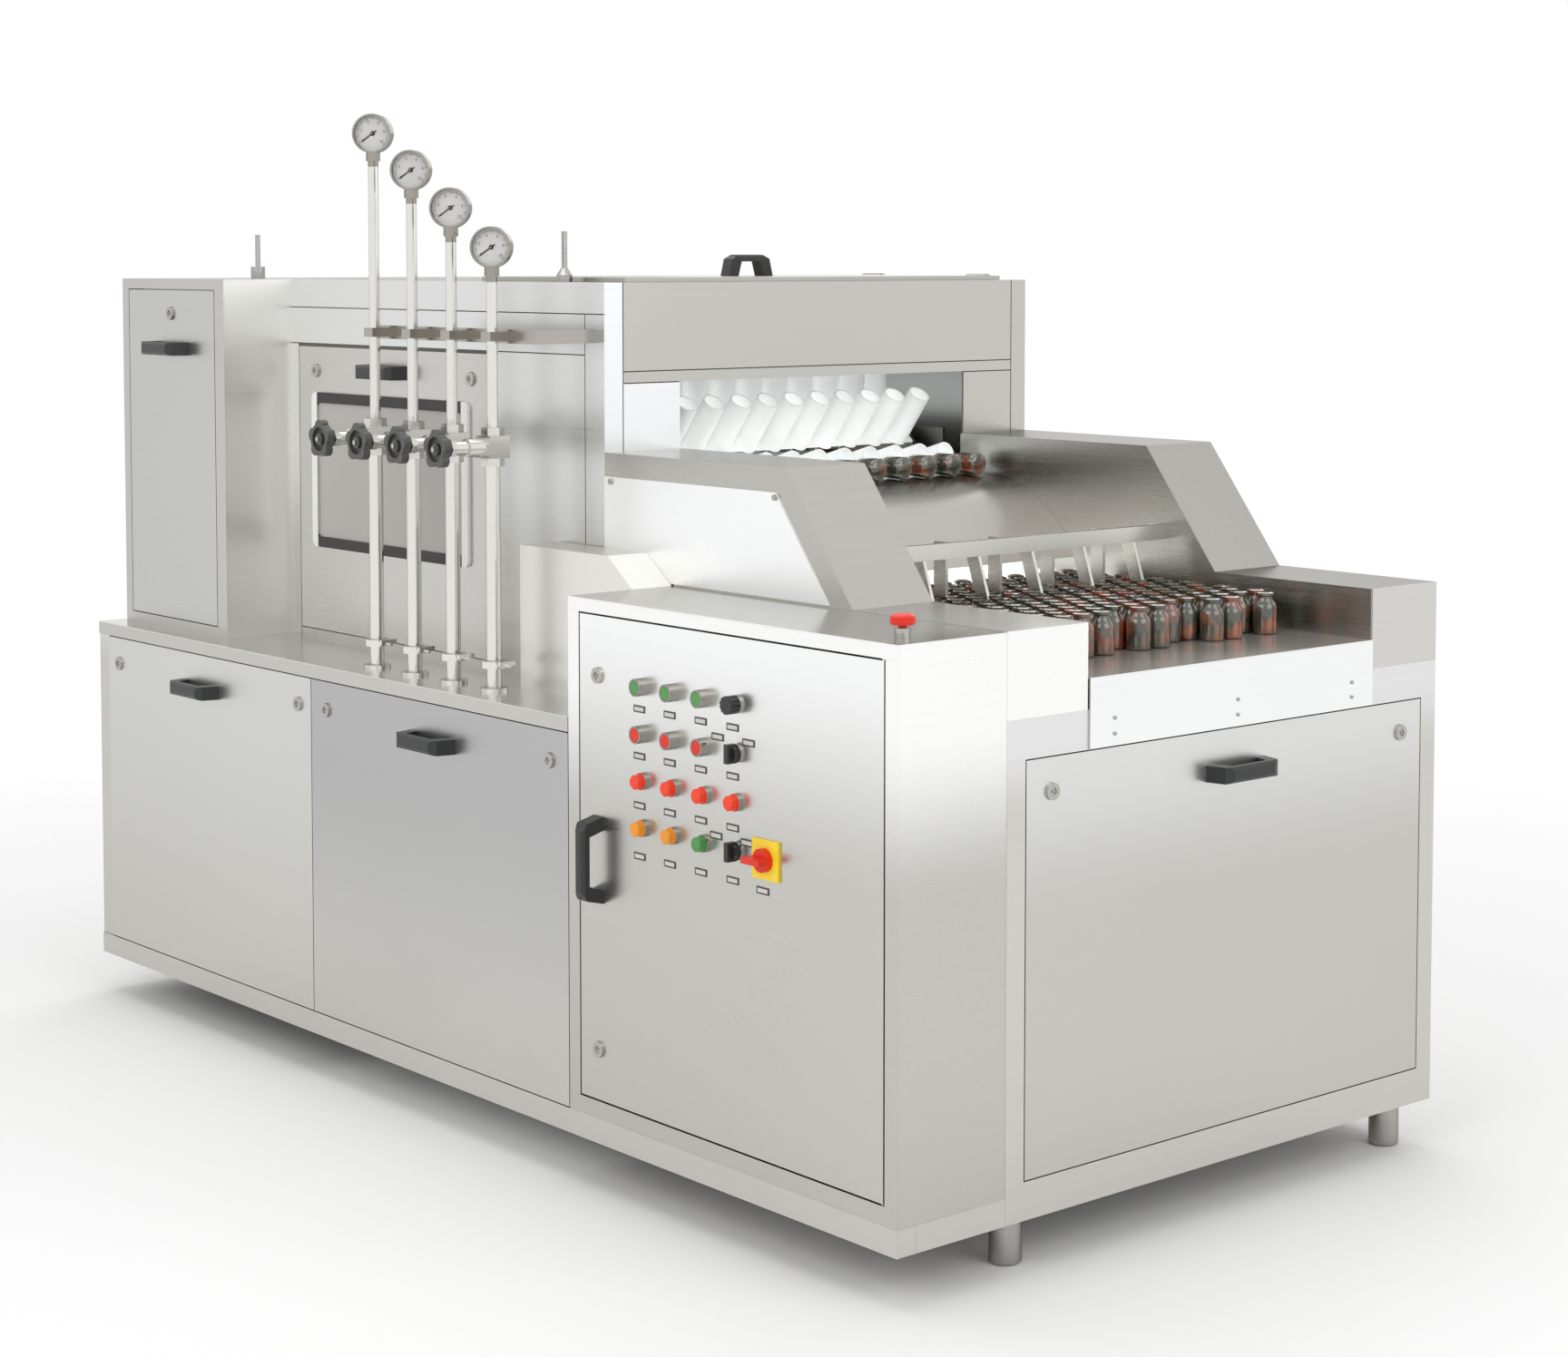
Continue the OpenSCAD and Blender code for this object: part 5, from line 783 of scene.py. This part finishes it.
def amber(name):
    """Smoky brown glass, seen as a dark glossy body with a few warm patches."""
    material, nodes, links = empty_material(name)
    where = nodes.new("ShaderNodeTexCoord")
    patch = nodes.new("ShaderNodeTexNoise")
    patch.inputs["Scale"].default_value = patch_scale
    patch.inputs["Detail"].default_value = 2.0
    ramp = nodes.new("ShaderNodeValToRGB")
    ramp.color_ramp.elements[0].position = 0.50
    ramp.color_ramp.elements[0].color = paint(66, 66, 54)
    ramp.color_ramp.elements[1].position = 0.84
    ramp.color_ramp.elements[1].color = paint(184, 80, 38)
    body = nodes.new("ShaderNodeBsdfPrincipled")
    body.inputs["Roughness"].default_value = 0.06
    body.inputs["Specular IOR Level"].default_value = 0.8
    body.inputs["Coat Weight"].default_value = 1.0
    body.inputs["Coat Roughness"].default_value = 0.03
    end = nodes.new("ShaderNodeOutputMaterial")
    links.new(where.outputs["Object"], patch.inputs["Vector"])
    links.new(patch.outputs["Fac"], ramp.inputs["Fac"])
    links.new(ramp.outputs["Color"], body.inputs["Base Color"])
    links.new(body.outputs[0], end.inputs["Surface"])
    return material


vial = turned("vial", vial_profile, vial_sides)
vial.data.materials.append(amber("amber_glass"))
random.seed(11)
standing = []
for row in range(vial_rows):
    x = first_row_x - row * vial_pitch * row_share
    offset = (row % 2) * vial_pitch / 2
    for number in range(vials_in_row):
        y = first_vial_y + offset + number * vial_pitch
        if y > last_vial_y or (row == 0 and number in front_gaps):
            continue
        along_x = random.uniform(-vial_wobble, vial_wobble)
        along_y = random.uniform(-vial_wobble, vial_wobble)
        standing.append(copied(vial, (x + along_x, y + along_y, table_top + vial_lift)))
finished(joined(standing, "vials_on_table"), "machine")
lying = []
for lane in range(lane_count):
    y = lane_middle_y + (lane - (lane_count - 1) / 2) * lane_pitch
    lying.append(copied(vial, (shelf_end_x, y, shelf_top + lying_lift), (0, math.radians(-90), 0)))
finished(joined(lying, "vials_on_shelf"), "machine")
bpy.data.objects.remove(vial)

# Lane guides: a folded crossbar over the belt with nine thin blades that hang between the lanes.
# The bar and the blades are one light sheet.
finish("lane_guides", steel("guide_sheet", paint(218, 216, 211), 0.28))

# Drum guard and inverting drum: a curved polished sheet over a white drum with lifting bars.
# The drum glows as painted light, to make the gaps below the guide bar white.
finish("drum_guard", steel("guard_sheet", paint(190, 187, 182), 0.24, clouds=0.08))
finish("inverting_drum", moulded("drum_nylon", paint(244, 245, 244), 0.40, painted_glow=0.75))

# Carrier tubes: rows of white nylon tubes on carrier bars.
# Their glow is painted light, to make them as bright as they look inside the housing.
nylon = moulded("nylon", paint(232, 234, 233), 0.40, grain=0.15, specular=0.4, painted_glow=0.32)
finish("carrier_tubes", nylon)

# Carrier chains, wheels and nozzles: roller chain on flat rails, with spray pipes between the runs.
# The chain is darker and duller than the shafts.
chain_grey = steel("chain_grey", paint(140, 139, 136), 0.35, streaks=0.3)
finish("carrier_chains", chain_grey)
finish("head_shaft", turned_steel)
finish("tail_shaft", turned_steel)
finish("spray_nozzles", turned_steel)

# Supply pipes and risers: polished tube with clamp unions at the deck and valves halfway.
# The handwheels are moulded, with a plated hub at the front and a plated stem behind.
wheel_front_y = -0.6580
wheel_rear_y = -0.6435
polished = steel("polished_tube", paint(226, 225, 220), 0.10, streaks=0.04, clouds=0.05, relief=0.01)
finish("supply_manifold", polished)
finish("riser_pipes", polished)
finish("pipe_supports", steel("support_steel", paint(176, 172, 165), 0.20))
finish("valve_bodies", steel("valve_steel", paint(216, 215, 210), 0.18, streaks=0.05))
wheel_grey = moulded("wheel_grey", paint(74, 74, 72), 0.42, grain=0.2)
for number in (1, 2, 3, 4):
    finish(f"handwheel_{number}", wheel_grey,
           (lock_chrome, lambda p: p.y < wheel_front_y or p.y > wheel_rear_y))

# Gauges: plated cases with a pale dial, a dark needle and a thin lens.
# The four step down towards the infeed end and are turned half towards it.
gauge_x = -0.262
gauge_y = -0.540
gauge_z = 1.718
gauge_pitch = 0.123
gauge_drop = 0.0677
gauge_turn = math.radians(45)
dial_radius = 0.0325
dial_near = 0.0005
dial_far = 0.0045
gauge_centres = [Vector((gauge_x + gauge_pitch * i, gauge_y, gauge_z - gauge_drop * i)) for i in range(4)]
outward = Vector((math.sin(gauge_turn), -math.cos(gauge_turn), 0.0))


def on_dial(p):
    for centre in gauge_centres:
        offset = p - centre
        depth = offset.dot(outward)
        radial = (offset - outward * depth).length
        if radial < dial_radius and dial_near < depth < dial_far:
            return True
    return False


case_chrome = steel("case_chrome", paint(158, 153, 146), 0.16, relief=0.02)
dial_face = moulded("dial_face", paint(206, 205, 203), 0.5, grain=0.02)
finish("gauge_cases", case_chrome, (dial_face, on_dial))
finish("gauge_lenses", glass("gauge_pane", plain_white, ior=1.1))
needle_black = moulded("needle_black", paint(30, 30, 30), 0.5)
for number in (1, 2, 3, 4):
    finish(f"gauge_pointer_{number}", needle_black)

# Dial marks: printed ticks and even numbers round each dial, set just proud of its face.
# Every fifth tick is longer and thicker.
dial_start = 234.0
dial_sweep = 260.0
tick_count = 51
tick_edge = 0.0290
tick_depth = 0.0002
long_tick = (0.0042, 0.0007)
short_tick = (0.0022, 0.0004)
long_every = 5
number_count = 6
number_radius = 0.0210
number_size = 0.0065
number_depth = 0.0001
mark_lift = 0.00315
ink = moulded("ink", paint(60, 60, 60), 0.6, grain=0.0)
marks = []
for step in range(tick_count):
    turn = math.radians(dial_start + dial_sweep * step / (tick_count - 1))
    length, width = long_tick if step % long_every == 0 else short_tick
    middle = tick_edge - length / 2
    bpy.ops.mesh.primitive_cube_add(
        size=1.0, location=(middle * math.sin(turn), 0, middle * math.cos(turn)), rotation=(0, turn, 0),
        scale=(width, tick_depth, length))
    marks.append(bpy.context.object)
for step in range(number_count):
    turn = math.radians(dial_start + dial_sweep * step / (number_count - 1))
    bpy.ops.object.text_add(location=(number_radius * math.sin(turn), 0, number_radius * math.cos(turn)),
                            rotation=(math.radians(90), 0, 0))
    number = bpy.context.object
    number.data.body = str(2 * step)
    number.data.size = number_size
    number.data.align_x = "CENTER"
    number.data.align_y = "CENTER"
    number.data.extrude = number_depth
    bpy.ops.object.convert(target="MESH")
    marks.append(bpy.context.object)
dial_marks = joined(marks, "dial_marks")
bpy.ops.object.transform_apply(location=True, rotation=True, scale=True)
dial_marks.data.materials.clear()
dial_marks.data.materials.append(ink)
sets = [copied(dial_marks, centre + outward * mark_lift, (0, 0, gauge_turn)) for centre in gauge_centres]
bpy.data.objects.remove(dial_marks)
finished(joined(sets, "gauge_marks"), "machine")

# Tank, pump and drive: an open tank, a painted motor pump and a gear motor on a stand.
# The pump's own housing is bare steel and only its motor is painted.
pump_motor_x = -0.1495
motor_blue = moulded("motor_blue", paint(70, 96, 134), 0.45, grain=0.2)
finish("water_tank", steel("tank_sheet", paint(186, 185, 181), 0.34, streaks=0.08))
finish("wash_pump", motor_blue, (turned_steel, lambda p: p.x < pump_motor_x))
finish("drive_motor", motor_blue)
